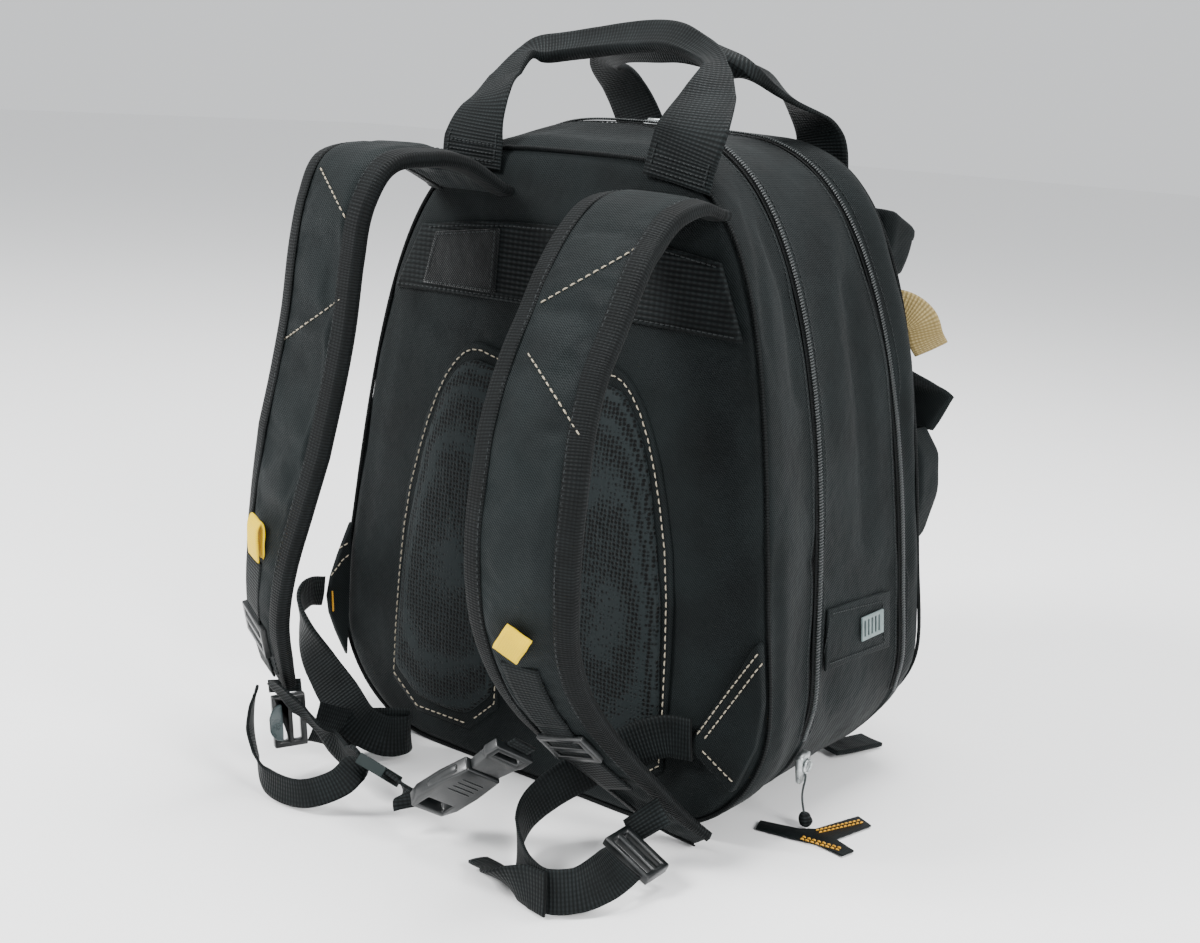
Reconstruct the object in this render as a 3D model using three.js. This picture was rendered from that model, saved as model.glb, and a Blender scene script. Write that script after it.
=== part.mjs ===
// Tool backpack standing on the floor, with its shoulder straps, sternum strap and lower webbing.
// Millimetres, +Z up. The back panel faces -Y, the front pockets face +Y.
// The origin is the centre of the base, on the floor.
import * as THREE from 'three';
import { mergeVertices } from 'three/addons/utils/BufferGeometryUtils.js';

// Driving sizes of the bag
const bagHeight = 455;
const bagWidth = 362;
const bagDepth = 207;
const cornerWidth = 92.5;
const cornerHeight = 89.4;
const sideTaper = 0.115;
const gussetWall = 3;
const gap = 0.3;

// Back panel, band and pads
const panelThick = 12;
const panelCrown = 4;
const panelEdge = 6;
const bandHeight = 54;
const bandLevel = 346;
const bandThick = 2.5;
const patchWidth = 62;
const patchThick = 1.5;
const patchInset = 6;
const padWidth = 96;
const padHeight = 270;
const padThick = 11;
const padLevel = 22;
const padInner = 20;
const padMiddle = -7;
const frontCrown = 12;
const frontThick = 3;

// Zips
const zipWidth = 13;
const zipThick = 2.4;
const zipProud = 1.2;
const zipEnd = 50;
const sliderWidth = 11;
const sliderLength = 22;
const sliderThick = 5;

// Shoulder straps
const strapWidth = 71;
const strapThick = 12;
const strapSpread = 100;
const strapReach = 140;
const strapHeight = 391;

// Webbing and handles
const webThick = 1.8;
const lowerWebWidth = 28;
const sternumWidth = 19;
const railWidth = 25;
const handleWidth = 50;
const handleThick = 2.2;
const tabWidth = 17;
const tabThick = 1.6;

// Hardware
const triglideLength = 36;
const triglideWidth = 24;
const triglideThick = 4;
const ladderLength = 36;
const ladderWidth = 22;
const ladderThick = 6;
const barWidth = 4;
const slotPlay = 2;
const buckleWidth = 34;
const femaleLength = 50;
const maleLength = 26;
const buckleThick = 10;
const windowLength = 9;

// Pockets and trim
const wingThick = 4;
const pocketThick = 3;
const patchSideThick = 2;
const loopWidth = 25;

const backY = -bagDepth / 2;
const parts = new THREE.Group();

function vec(x, y, z) {
  return new THREE.Vector3(x, y, z);
}

// Materials, one per kind of surface
const finishes = {
  fabric: { color: 0x232b2d, roughness: 0.85, metalness: 0 },
  mesh: { color: 0x181d1e, roughness: 0.9, metalness: 0 },
  webbing: { color: 0x2a3335, roughness: 0.75, metalness: 0 },
  zip: { color: 0x101314, roughness: 0.5, metalness: 0 },
  plastic: { color: 0x1b2022, roughness: 0.35, metalness: 0 },
  metal: { color: 0x9aa0a0, roughness: 0.35, metalness: 0.9 },
  yellow: { color: 0xf2c83a, roughness: 0.6, metalness: 0 },
  khaki: { color: 0xa3946a, roughness: 0.8, metalness: 0 },
  grey: { color: 0x7e8b8c, roughness: 0.5, metalness: 0 },
};

function add(name, geometry, finish) {
  const mesh = new THREE.Mesh(geometry, new THREE.MeshStandardMaterial(finishes[finish]));
  mesh.name = name;
  parts.add(mesh);
  return mesh;
}

function fromTriangles(points, faces) {
  const geometry = new THREE.BufferGeometry();
  const array = new Float32Array(points.flatMap((p) => [p.x, p.y, p.z]));
  geometry.setAttribute('position', new THREE.BufferAttribute(array, 3));
  geometry.setIndex(faces.flat());
  return geometry;
}

function volume(points, faces) {
  let sum = 0;
  for (const [a, b, c] of faces) {
    sum += points[a].dot(points[b].clone().cross(points[c]));
  }
  return sum;
}

// Faces are turned round together when they point inwards
function closedSolid(points, faces) {
  const flipped = volume(points, faces) < 0;
  const outward = flipped ? faces.map(([a, b, c]) => [a, c, b]) : faces;
  return fromTriangles(points, outward);
}

// Solid through rings of equal count, capped at both ends by a fan round each ring's middle
function loft(rings) {
  const points = rings.flat();
  const count = rings[0].length;
  const faces = [];
  for (let k = 0; k < rings.length - 1; k += 1) {
    for (let i = 0; i < count; i += 1) {
      const j = (i + 1) % count;
      const a = k * count + i;
      const b = k * count + j;
      faces.push([a, b, b + count], [a, b + count, a + count]);
    }
  }
  for (const [ring, base, sense] of [[rings[0], 0, 1], [rings.at(-1), (rings.length - 1) * count, -1]]) {
    const middle = ring.reduce((sum, p) => sum.add(p), vec(0, 0, 0)).divideScalar(count);
    points.push(middle);
    for (let i = 0; i < count; i += 1) {
      const j = (i + 1) % count;
      const face = [points.length - 1, base + j, base + i];
      faces.push(sense > 0 ? face : [face[0], face[2], face[1]]);
    }
  }
  return closedSolid(points, faces);
}

// Value between the rows of a table, at a place counted in rows
function between(rows, place, key) {
  const k = Math.min(Math.floor(place), rows.length - 2);
  return THREE.MathUtils.lerp(rows[k][key], rows[k + 1][key], place - k);
}

// Stations along a strip: rows hold its middle, the way it faces, its width and its thickness
function stations(rows, stepsPerRow, rooted = false) {
  const curve = new THREE.CatmullRomCurve3(rows.map((row) => row.at), false, 'centripetal');
  const last = rows.length - 1;
  const list = [];
  for (let s = 0; s <= last * stepsPerRow; s += 1) {
    const place = s / stepsPerRow;
    const k = Math.min(Math.floor(place), last - 1);
    const facing = rows[k].facing.clone().lerp(rows[k + 1].facing, place - k);
    const tangent = s === 0 && rooted ? vec(0, -1, 0) : curve.getTangent(place / last);
    const across = tangent.clone().cross(facing).normalize();
    const normal = across.clone().cross(tangent).normalize();
    list.push({
      at: curve.getPoint(place / last),
      tangent,
      across,
      normal,
      width: between(rows, place, 'width'),
      thick: between(rows, place, 'thick'),
    });
  }
  return list;
}

function flatRing({ at, across, normal, width, thick }) {
  const corners = [[-1, -1], [1, -1], [1, 1], [-1, 1]];
  return corners.map(([side, face]) => at.clone()
    .addScaledVector(across, side * width / 2)
    .addScaledVector(normal, face * thick / 2));
}

// Padded section: full thickness in the middle, thinner at both bound edges
const padSection = [
  { side: -1, face: -0.3 }, { side: -0.82, face: -0.5 }, { side: 0.82, face: -0.5 }, { side: 1, face: -0.3 },
  { side: 1, face: 0.3 }, { side: 0.82, face: 0.5 }, { side: -0.82, face: 0.5 }, { side: -1, face: 0.3 },
];

function paddedRing({ at, across, normal, width, thick }) {
  return padSection.map(({ side, face }) => at.clone()
    .addScaledVector(across, side * width / 2)
    .addScaledVector(normal, face * thick));
}

// Places round the bag's outline, as a closed loop from the middle of the base
const cornerSteps = 6;
const crownAngles = [2, 5, 10, 18, 27, 36, 45, 54, 63, 72, 81];

function outlinePlaces() {
  const right = [{ part: 'base', share: 0.5 }];
  for (let i = 0; i <= cornerSteps; i += 1) {
    right.push({ part: 'corner', turn: (i / cornerSteps) * Math.PI / 2 });
  }
  for (const degrees of crownAngles) {
    right.push({ part: 'crown', turn: THREE.MathUtils.degToRad(degrees) });
  }
  const left = right.map((place) => ({ ...place, side: -1 })).reverse();
  return [
    { part: 'base', share: 0, side: 1 },
    ...right.map((place) => ({ ...place, side: 1 })),
    { part: 'crown', turn: Math.PI / 2, side: 1 },
    ...left,
  ];
}

const places = outlinePlaces();

// Seams round the bag. Shares of the depth: back at the base, lean up to the top, bulge halfway.
// Shares of the outline: width and height. lift is a share of the corner height at the base,
// and power is how square the top is.
const seams = {
  rear: { back: 0, lean: 0.053, bulge: -0.02, width: 1, height: 0.925, lift: 0, power: 4.4 },
  rearEdge: { back: 0.055, lean: 0.053, bulge: 0, width: 1.012, height: 0.943, lift: 0, power: 4 },
  nearZip: { back: 0.2, lean: 0.124, bulge: 0.07, width: 0.985, height: 0.963, lift: 0, power: 3.3 },
  middle: { back: 0.52, lean: 0, bulge: 0.08, width: 0.985, height: 0.955, lift: 0, power: 3.4 },
  farZip: { back: 0.84, lean: -0.086, bulge: 0.065, width: 0.994, height: 0.955, lift: 0, power: 3.4 },
  frontEdge: { back: 0.94, lean: -0.05, bulge: 0.04, width: 1.006, height: 0.962, lift: 0.08, power: 4 },
  front: { back: 1, lean: -0.07, bulge: 0.028, width: 1, height: 0.955, lift: 0.22, power: 4 },
};

function crownPoint(seam, turn) {
  const rise = Math.sin(turn) ** (2 / seam.power) * (bagHeight * seam.height - cornerHeight);
  const half = (bagWidth / 2 - sideTaper * rise) * Math.cos(turn) ** (2 / seam.power);
  return { x: half, z: cornerHeight + rise };
}

function outlinePoint(seam, { part, share, turn, side }) {
  const flat = bagWidth / 2 - cornerWidth;
  let point = { x: flat * share, z: 0 };
  if (part === 'corner') {
    point = { x: flat + cornerWidth * Math.sin(turn), z: cornerHeight * (1 - Math.cos(turn)) };
  }
  if (part === 'crown') {
    point = crownPoint(seam, turn);
  }
  return { x: side * seam.width * point.x, z: point.z };
}

// Each seam's outline, and its unit step inwards at each place
for (const seam of Object.values(seams)) {
  seam.outline = places.map((place) => outlinePoint(seam, place));
  seam.inward = seam.outline.map((point, i) => {
    const before = seam.outline.at(i - 1);
    const after = seam.outline[(i + 1) % places.length];
    const run = new THREE.Vector2(after.x - before.x, after.z - before.z).normalize();
    return { x: -run.y, z: run.x };
  });
}

function seamDepth(seam, z) {
  const t = z / bagHeight;
  return backY + bagDepth * (seam.back + seam.lean * t + seam.bulge * 4 * t * (1 - t));
}

// Point on a seam, moved along the bag's depth and inwards
function seamPoint(seam, i, forward = 0, inset = 0) {
  const { x, z } = seam.outline[i];
  const low = Math.max(0, 1 - z / (2 * cornerHeight));
  const rise = seam.lift * cornerHeight * low * low;
  return vec(
    x + seam.inward[i].x * inset,
    seamDepth(seam, z) + forward,
    z + rise + seam.inward[i].z * inset,
  );
}

// Face of the back panel
function faceY(z) {
  return seamDepth(seams.rear, z) - panelCrown;
}

// Gusset: the strip round the bag from the back panel to the front panel, open at both zips
const gussetRows = [
  { seam: seams.rear, forward: 0 },
  { seam: seams.rearEdge, forward: 0 },
  { seam: seams.nearZip, forward: -zipWidth / 2 },
  { seam: seams.nearZip, forward: zipWidth / 2 },
  { seam: seams.middle, forward: 0 },
  { seam: seams.farZip, forward: -zipWidth / 2 },
  { seam: seams.farZip, forward: zipWidth / 2 },
  { seam: seams.frontEdge, forward: 0 },
  { seam: seams.front, forward: 0 },
];
const zipStrips = [2, 5];

function aboveZipEnd(i) {
  return seams.nearZip.outline[i].z >= zipEnd;
}

function underZip(i) {
  return aboveZipEnd(i) && aboveZipEnd((i + 1) % places.length);
}

function gussetSolid() {
  const count = places.length;
  const last = gussetRows.length - 1;
  const points = [];
  for (const inset of [0, gussetWall]) {
    for (const { seam, forward } of gussetRows) {
      places.forEach((place, i) => points.push(seamPoint(seam, i, forward, inset)));
    }
  }
  const inner = count * gussetRows.length;
  const present = (row, i) => row >= 0 && row < last
    && !(zipStrips.includes(row) && underZip((i + count) % count));
  const faces = [];
  const quad = (a, b, c, d) => faces.push([a, b, c], [a, c, d]);
  for (let row = 0; row < last; row += 1) {
    for (let i = 0; i < count; i += 1) {
      const j = (i + 1) % count;
      const a = row * count + i;
      const b = row * count + j;
      if (present(row, i)) {
        quad(a, b, b + count, a + count);
        quad(inner + a, inner + a + count, inner + b + count, inner + b);
        if (!present(row, i - 1)) {
          quad(a, a + count, inner + a + count, inner + a);
        }
        if (!present(row, i + 1)) {
          quad(b, inner + b, inner + b + count, b + count);
        }
        if (!present(row - 1, i)) {
          quad(a, inner + a, inner + b, b);
        }
        if (!present(row + 1, i)) {
          quad(a + count, b + count, inner + b + count, inner + a + count);
        }
      }
    }
  }
  return closedSolid(points, faces);
}

add('gusset', gussetSolid(), 'fabric');

// Zip strips lie in the gusset's two slits, from one lower end over the top to the other
function zipSolid(seam) {
  const indices = places.map((place, i) => i).filter(aboveZipEnd);
  const rings = indices.map((i, k) => {
    const end = k === 0 || k === indices.length - 1;
    const side = zipWidth / 2 - gap;
    const out = -zipProud;
    const corners = [[-side, out], [side, out], [side, out + zipThick], [-side, out + zipThick]];
    const shorten = end ? gap / Math.abs(Math.cos(Math.PI / 8)) : 0;
    return corners.map(([forward, inset]) => seamPoint(seam, i, forward, inset).add(vec(0, 0, shorten)));
  });
  return loft(rings);
}

add('zip_rear', zipSolid(seams.nearZip), 'zip');
add('zip_front', zipSolid(seams.farZip), 'zip');

// Plate inside the end of the gusset, crowned outwards: the back panel and the front panel
function endPanel(seam, sense, crown, thick) {
  const fit = gussetWall + gap;
  const ring = (inset, forward) => places.map((place, i) => seamPoint(seam, i, forward, inset));
  const rings = [
    ring(fit + panelEdge, sense * (crown - thick)),
    ring(fit, sense * (crown - thick)),
    ring(fit, -sense * gap),
    ring(fit + panelEdge / 3, sense * crown * 0.6),
    ring(fit + panelEdge, sense * crown),
  ];
  const rim = rings.at(-1);
  const level = (Math.min(...rim.map((p) => p.z)) + Math.max(...rim.map((p) => p.z))) / 2;
  for (const share of [0.75, 0.5, 0.25]) {
    rings.push(rim.map((p) => {
      const z = level + (p.z - level) * share;
      return vec(p.x * share, seamDepth(seam, z) + sense * crown, z);
    }));
  }
  return loft(rings);
}

add('back_panel', endPanel(seams.rear, -1, panelCrown, panelThick), 'fabric');
add('front_panel', endPanel(seams.front, 1, frontCrown, frontThick + frontCrown), 'fabric');

// Flat piece lying on the back panel: its outline is given in X and Z
function onPanel(corners, clear, thick, bevel) {
  const total = corners.reduce((sum, [x, z]) => [sum[0] + x, sum[1] + z], [0, 0]);
  const middle = total.map((value) => value / corners.length);
  const ring = (out, shrink, share) => corners.map(([x, z]) => {
    const away = new THREE.Vector2(x - middle[0], z - middle[1]);
    const scale = share * (1 - shrink / away.length());
    const height = middle[1] + away.y * scale;
    return vec(middle[0] + away.x * scale, faceY(height) - out, height);
  });
  const front = clear + thick;
  return loft([
    ring(clear, 0, 0.1),
    ring(clear, 0, 0.5),
    ring(clear, 0, 1),
    ring(front - bevel, 0, 1),
    ring(front, bevel * 1.6, 1),
    ring(front, 0, 0.5),
    ring(front, 0, 0.1),
  ]);
}

const bandTop = bandLevel + bandHeight / 2;
const bandBottom = bandLevel - bandHeight / 2;

// Half width of the panel's flat face at a height
function panelHalf(z) {
  const { power, height } = seams.rear;
  const rise = Math.max(0, z - cornerHeight);
  const share = Math.min(1, rise / (bagHeight * height - cornerHeight));
  return (bagWidth / 2 - sideTaper * rise) * (1 - share ** power) ** (1 / power) - gussetWall - panelEdge;
}

function bandCorners() {
  const rows = 6;
  const lower = [];
  const upper = [];
  for (let i = 0; i <= rows; i += 1) {
    const share = (2 * i) / rows - 1;
    lower.push([share * panelHalf(bandBottom), bandBottom + 2 * (1 - share * share)]);
    upper.unshift([share * panelHalf(bandTop), bandTop - bandHeight * 0.18 * share * share]);
  }
  return [...lower, ...upper];
}

add('back_band', onPanel(bandCorners(), gap, bandThick, 0.5), 'webbing');

const patchLeft = patchInset - panelHalf(bandTop);
const patchCorners = [
  [patchLeft, bandBottom + patchInset],
  [patchLeft + patchWidth, bandBottom + patchInset],
  [patchLeft + patchWidth, bandTop - patchInset],
  [patchLeft + patchWidth * 0.13, bandTop - bandHeight * 0.25],
];
add('hook_patch', onPanel(patchCorners, bandThick + 2 * gap, patchThick, 0.3), 'webbing');

// Mesh pads: straight inner edge, rounded outer top. Shares of the pad's width and height.
const padOutline = [
  { out: 0, rise: 0 }, { out: 1, rise: 0 }, { out: 1, rise: 0.28 }, { out: 0.97, rise: 0.55 },
  { out: 0.83, rise: 0.76 }, { out: 0.67, rise: 0.9 }, { out: 0.5, rise: 0.98 }, { out: 0.36, rise: 1 },
  { out: 0.18, rise: 0.985 }, { out: 0, rise: 0.97 }, { out: 0, rise: 0.65 }, { out: 0, rise: 0.32 },
];

function padCorners(side) {
  return padOutline.map(({ out, rise }) => [
    padMiddle + side * (padInner + out * padWidth),
    padLevel + rise * padHeight,
  ]);
}

add('mesh_pad_left', onPanel(padCorners(-1), gap, padThick, 4), 'mesh');
add('mesh_pad_right', onPanel(padCorners(1), gap, padThick, 4), 'mesh');

// Wings: triangles at the lower corners that carry the lower webbing
const wingHeight = 102;
const wingLevel = 44;
const wingReach = 46;
const wingTipLevel = 67;

function rightWing() {
  const top = wingLevel + wingHeight;
  const corners = [
    [panelHalf(top) + panelEdge, top],
    [panelHalf(wingLevel) - wingReach + 6, wingTipLevel + 6],
    [panelHalf(wingLevel) - wingReach + 4, wingTipLevel - 4],
    [panelHalf(wingLevel) - 10, wingLevel],
    [panelHalf(wingLevel) + panelEdge - 2, wingLevel + wingHeight / 3],
    [panelHalf(wingLevel) + panelEdge, wingLevel + wingHeight / 1.6],
  ];
  return onPanel(corners, gap + 0.3, wingThick, 1);
}

add('wing_right', rightWing(), 'fabric');

// The left wing stands out from the panel with its tip towards the strap
const leftWingOut = 16;

function leftWing() {
  const rows = [
    { share: 0, top: 1, bottom: 0 },
    { share: 0.5, top: 0.78, bottom: 0.18 },
    { share: 1, top: 0.56, bottom: 0.36 },
  ];
  const rings = rows.map(({ share, top, bottom }) => {
    const high = wingLevel + top * wingHeight;
    const low = wingLevel + bottom * wingHeight;
    const out = gap + 0.3 + share * leftWingOut;
    const x = -panelHalf(wingLevel + wingHeight / 2) - share * 6;
    return [
      vec(x - wingThick / 2, faceY(low) - out, low),
      vec(x + wingThick / 2, faceY(low) - out, low),
      vec(x + wingThick / 2, faceY(high) - out, high),
      vec(x - wingThick / 2, faceY(high) - out, high),
    ];
  });
  return loft(rings);
}

add('wing_left', leftWing(), 'fabric');

// Shoulder straps. x is a share of strapSpread, out of strapReach, rise of strapHeight,
// width of strapWidth and thick of strapThick. facing is the way the outer face looks.
const strapRows = {
  right: [
    { x: 0.84, out: 0, rise: 1, width: 1, thick: 0.6, facing: [0, 0, 1] },
    { x: 0.82, out: 0.13, rise: 1.01, width: 1, thick: 0.8, facing: [0, 0, 1] },
    { x: 0.8, out: 0.32, rise: 0.995, width: 1, thick: 0.95, facing: [0, -0.6, 1] },
    { x: 0.79, out: 0.465, rise: 0.951, width: 1, thick: 1, facing: [0, -1, 0.8] },
    { x: 0.81, out: 0.58, rise: 0.91, width: 1, thick: 1, facing: [0, -1, 0.6] },
    { x: 0.83, out: 0.7, rise: 0.849, width: 1, thick: 1, facing: [0, -1, 0.5] },
    { x: 0.84, out: 0.82, rise: 0.783, width: 1, thick: 1, facing: [0, -1, 0.4] },
    { x: 0.88, out: 0.936, rise: 0.703, width: 1, thick: 1, facing: [0.05, -1, 0.3] },
    { x: 0.92, out: 1, rise: 0.637, width: 1, thick: 1, facing: [0.08, -1, 0.1] },
    { x: 0.92, out: 1.02, rise: 0.552, width: 1, thick: 1, facing: [0.1, -1, 0] },
    { x: 0.91, out: 1, rise: 0.476, width: 0.98, thick: 1, facing: [0.12, -1, -0.2] },
    { x: 0.88, out: 0.936, rise: 0.402, width: 0.94, thick: 1, facing: [0.12, -1, -0.4] },
    { x: 0.87, out: 0.82, rise: 0.322, width: 0.9, thick: 1, facing: [0.12, -1, -0.6] },
    { x: 0.91, out: 0.68, rise: 0.251, width: 0.86, thick: 0.95, facing: [0.12, -1, -0.7] },
    { x: 1.01, out: 0.493, rise: 0.176, width: 0.76, thick: 0.85, facing: [0.1, -1, -0.8] },
    { x: 1.14, out: 0.32, rise: 0.11, width: 0.64, thick: 0.7, facing: [0.1, -1, -0.8] },
    { x: 1.29, out: 0.2, rise: 0.058, width: 0.54, thick: 0.55, facing: [0.1, -1, -0.8] },
    { x: 1.47, out: 0.11, rise: 0.025, width: 0.34, thick: 0.4, facing: [0.1, -1, -0.8] },
  ],
  left: [
    { x: -0.8, out: 0, rise: 1, width: 1, thick: 0.6, facing: [0, 0, 1] },
    { x: -0.83, out: 0.257, rise: 1.041, width: 1, thick: 0.85, facing: [0, 0.2, 1] },
    { x: -0.84, out: 0.507, rise: 1.05, width: 1, thick: 1, facing: [0, -0.15, 1] },
    { x: -0.87, out: 0.71, rise: 1.035, width: 1, thick: 1, facing: [-0.1, -0.8, 0.9] },
    { x: -0.89, out: 0.8, rise: 0.98, width: 1, thick: 1, facing: [-0.2, -1, 0.4] },
    { x: -0.92, out: 0.83, rise: 0.903, width: 1, thick: 1, facing: [-0.2, -1, 0.1] },
    { x: -0.93, out: 0.864, rise: 0.793, width: 1, thick: 1, facing: [-0.2, -1, 0.1] },
    { x: -0.97, out: 0.893, rise: 0.698, width: 1, thick: 1, facing: [-0.2, -1, 0.1] },
    { x: -1.01, out: 0.936, rise: 0.601, width: 1, thick: 1, facing: [-0.2, -1, 0.1] },
    { x: -1.07, out: 0.964, rise: 0.501, width: 0.96, thick: 1, facing: [-0.3, -1, 0] },
    { x: -1.13, out: 0.979, rise: 0.402, width: 0.88, thick: 1, facing: [-0.4, -1, -0.1] },
    { x: -1.18, out: 0.95, rise: 0.309, width: 0.76, thick: 1, facing: [-0.5, -1, -0.3] },
    { x: -1.22, out: 0.879, rise: 0.235, width: 0.6, thick: 0.9, facing: [-0.5, -1, -0.4] },
    { x: -1.24, out: 0.82, rise: 0.18, width: 0.45, thick: 0.7, facing: [-0.5, -1, -0.5] },
  ],
};

const strapRoot = -faceY(strapHeight) + backY + gap;

function strapStations(side) {
  const rows = strapRows[side].map(({ x, out, rise, width, thick, facing }) => ({
    at: vec(x * strapSpread, backY - strapRoot - out * strapReach, rise * strapHeight),
    facing: vec(...facing),
    width: width * strapWidth,
    thick: thick * strapThick,
  }));
  return stations(rows, 2, true);
}

const straps = { left: strapStations('left'), right: strapStations('right') };
for (const side of ['left', 'right']) {
  add(`strap_${side}`, loft(straps[side].map(paddedRing)), 'fabric');
}

// Strip that follows a strap's outer face between two of its stations
function alongStrap(side, first, last, shift, width, clear, thick) {
  const rings = straps[side].slice(first, last + 1).map((s) => flatRing({
    ...s,
    at: s.at.clone()
      .addScaledVector(s.normal, s.thick / 2 + clear + thick / 2)
      .addScaledVector(s.across, shift),
    width,
    thick,
  }));
  return loft(rings);
}

const railShift = { left: 6, right: 3 };
const railClear = { left: 1.3, right: 0.5 };
const railSpan = { left: [20, 22], right: [23, 26] };
for (const side of ['left', 'right']) {
  const [first, last] = railSpan[side];
  const rail = alongStrap(side, first, last, railShift[side], railWidth, railClear[side], webThick);
  add(`strap_rail_${side}`, rail, 'webbing');
}

function plain(geometry) {
  geometry.deleteAttribute('normal');
  geometry.deleteAttribute('uv');
  return mergeVertices(geometry, 1e-4);
}

function extrudedPlate(outlineCorners, holeCorners, thick) {
  const shape = new THREE.Shape(outlineCorners.map(([x, y]) => new THREE.Vector2(x, y)));
  for (const corners of holeCorners) {
    const path = new THREE.Path(corners.map(([x, y]) => new THREE.Vector2(x, y)));
    path.closePath();
    shape.holes.push(path);
  }
  const geometry = new THREE.ExtrudeGeometry(shape, { depth: thick, bevelEnabled: false });
  geometry.translate(0, 0, -thick / 2);
  return plain(geometry);
}

function rectangle(width, length, middle = 0) {
  const low = middle - length / 2;
  const high = middle + length / 2;
  return [[-width / 2, low], [width / 2, low], [width / 2, high], [-width / 2, high]];
}

// Plate with two slots, such as a tri-glide or a ladder lock
function slottedPlate(length, width, thick) {
  const slot = (width - 3 * barWidth) / 2;
  const holes = [-1, 1].map((side) => rectangle(length - 2 * barWidth, slot, side * (slot + barWidth) / 2));
  return extrudedPlate(rectangle(length, width), holes, thick);
}

// Frame whose X runs across, whose Y runs along and whose Z is the outer face
function setFrame(mesh, at, across, along) {
  const x = across.clone().normalize();
  const z = x.clone().cross(along).normalize();
  const y = z.clone().cross(x);
  mesh.matrixAutoUpdate = false;
  mesh.matrix.makeBasis(x, y, z).setPosition(at);
}

const triglideStation = { left: 23, right: 27 };
for (const side of ['left', 'right']) {
  const s = straps[side][triglideStation[side]];
  const mesh = add(`triglide_${side}`, slottedPlate(triglideLength, triglideWidth, triglideThick), 'plastic');
  const at = s.at.clone()
    .addScaledVector(s.normal, s.thick / 2 + 2 * gap + triglideThick / 2)
    .addScaledVector(s.across, railShift[side]);
  setFrame(mesh, at, s.across, s.normal.clone().cross(s.across));
}

// Local frame on a strap's outer face: across it, up along it and straight out of it
function strapFace(side, index) {
  const s = straps[side][index];
  return {
    across: s.across,
    rising: s.tangent.clone().negate(),
    out: s.normal,
    at: s.at.clone().addScaledVector(s.normal, s.thick / 2),
  };
}

// Yellow ribbon tabs: a short folded loop above each rail. Shares of the tab's length and lift.
const tabLength = 27;
const tabLift = 7;
const tabRows = [
  { along: 0, lift: 0.04 }, { along: 0.4, lift: 0.26 }, { along: 0.85, lift: 0.42 }, { along: 1, lift: 0.72 },
  { along: 0.85, lift: 1 }, { along: 0.4, lift: 0.86 }, { along: 0, lift: 0.6 },
];
const tabStation = { left: 20, right: 23 };
const tabLean = { left: 0, right: -0.7 };
const tabStart = { left: 1.5, right: 13 };
const tabShift = { left: 0, right: 15 };

for (const side of ['left', 'right']) {
  const face = strapFace(side, tabStation[side]);
  const lean = face.rising.clone().addScaledVector(face.across, tabLean[side]).normalize();
  const sideways = lean.clone().cross(face.out).normalize();
  const rings = tabRows.map(({ along, lift }, k) => {
    const before = tabRows[Math.max(0, k - 1)];
    const after = tabRows[Math.min(tabRows.length - 1, k + 1)];
    const run = lean.clone().multiplyScalar((after.along - before.along) * tabLength)
      .addScaledVector(face.out, (after.lift - before.lift) * tabLift).normalize();
    return flatRing({
      at: face.at.clone()
        .addScaledVector(face.across, tabShift[side])
        .addScaledVector(lean, tabStart[side] + along * tabLength)
        .addScaledVector(face.out, gap + tabThick / 2 + lift * tabLift),
      across: sideways,
      normal: sideways.clone().cross(run).normalize(),
      width: tabWidth,
      thick: tabThick,
    });
  });
  add(`yellow_tab_${side}`, loft(rings), 'yellow');
}

// Free webbing. x is a share of strapSpread, out of strapReach from the back seam, rise of hangHeight.
// lift is a distance in front of that place, along facing.
const hangHeight = 100;

function placeAt({ x, out, rise }) {
  return vec(x * strapSpread, backY - out * strapReach, rise * hangHeight);
}

function webbing(table, width, thick = webThick) {
  const rows = table.map(({ facing, wide = 1, lift = 0, ...place }) => ({
    at: placeAt(place).addScaledVector(vec(...facing).normalize(), lift),
    facing: vec(...facing),
    width: width * wide,
    thick,
  }));
  return loft(stations(rows, 3).map(flatRing));
}

const lowerRight = [
  { x: 1.32, out: 0.078, rise: 0.71, facing: [0, 1, 0] },
  { x: 1.14, out: 0.1, rise: 0.69, facing: [-0.2, 1, 0] },
  { x: 0.95, out: 0.2, rise: 0.6, facing: [-0.5, 0.85, 0.1] },
  { x: 0.8, out: 0.35, rise: 0.47, facing: [-0.7, 0.7, 0.1] },
  { x: 0.69, out: 0.49, rise: 0.36, facing: [-0.85, 0.45, 0.1] },
  { x: 0.65, out: 0.61, rise: 0.26, facing: [-1, 0.15, 0.1] },
  { x: 0.72, out: 0.73, rise: 0.19, facing: [-1, -0.2, 0] },
  { x: 0.89, out: 0.86, rise: 0.155, facing: [-0.7, -0.7, 0] },
  { x: 1.06, out: 0.95, rise: 0.15, facing: [-0.35, -1, 0] },
  { x: 1.22, out: 0.985, rise: 0.155, facing: [0.2, -1, 0] },
  { x: 1.35, out: 0.92, rise: 0.17, facing: [0.9, -0.6, 0.1] },
  { x: 1.4, out: 0.79, rise: 0.19, facing: [0.8, 0, 0.5] },
  { x: 1.38, out: 0.62, rise: 0.19, facing: [0.43, 0, 0.9] },
];
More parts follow.
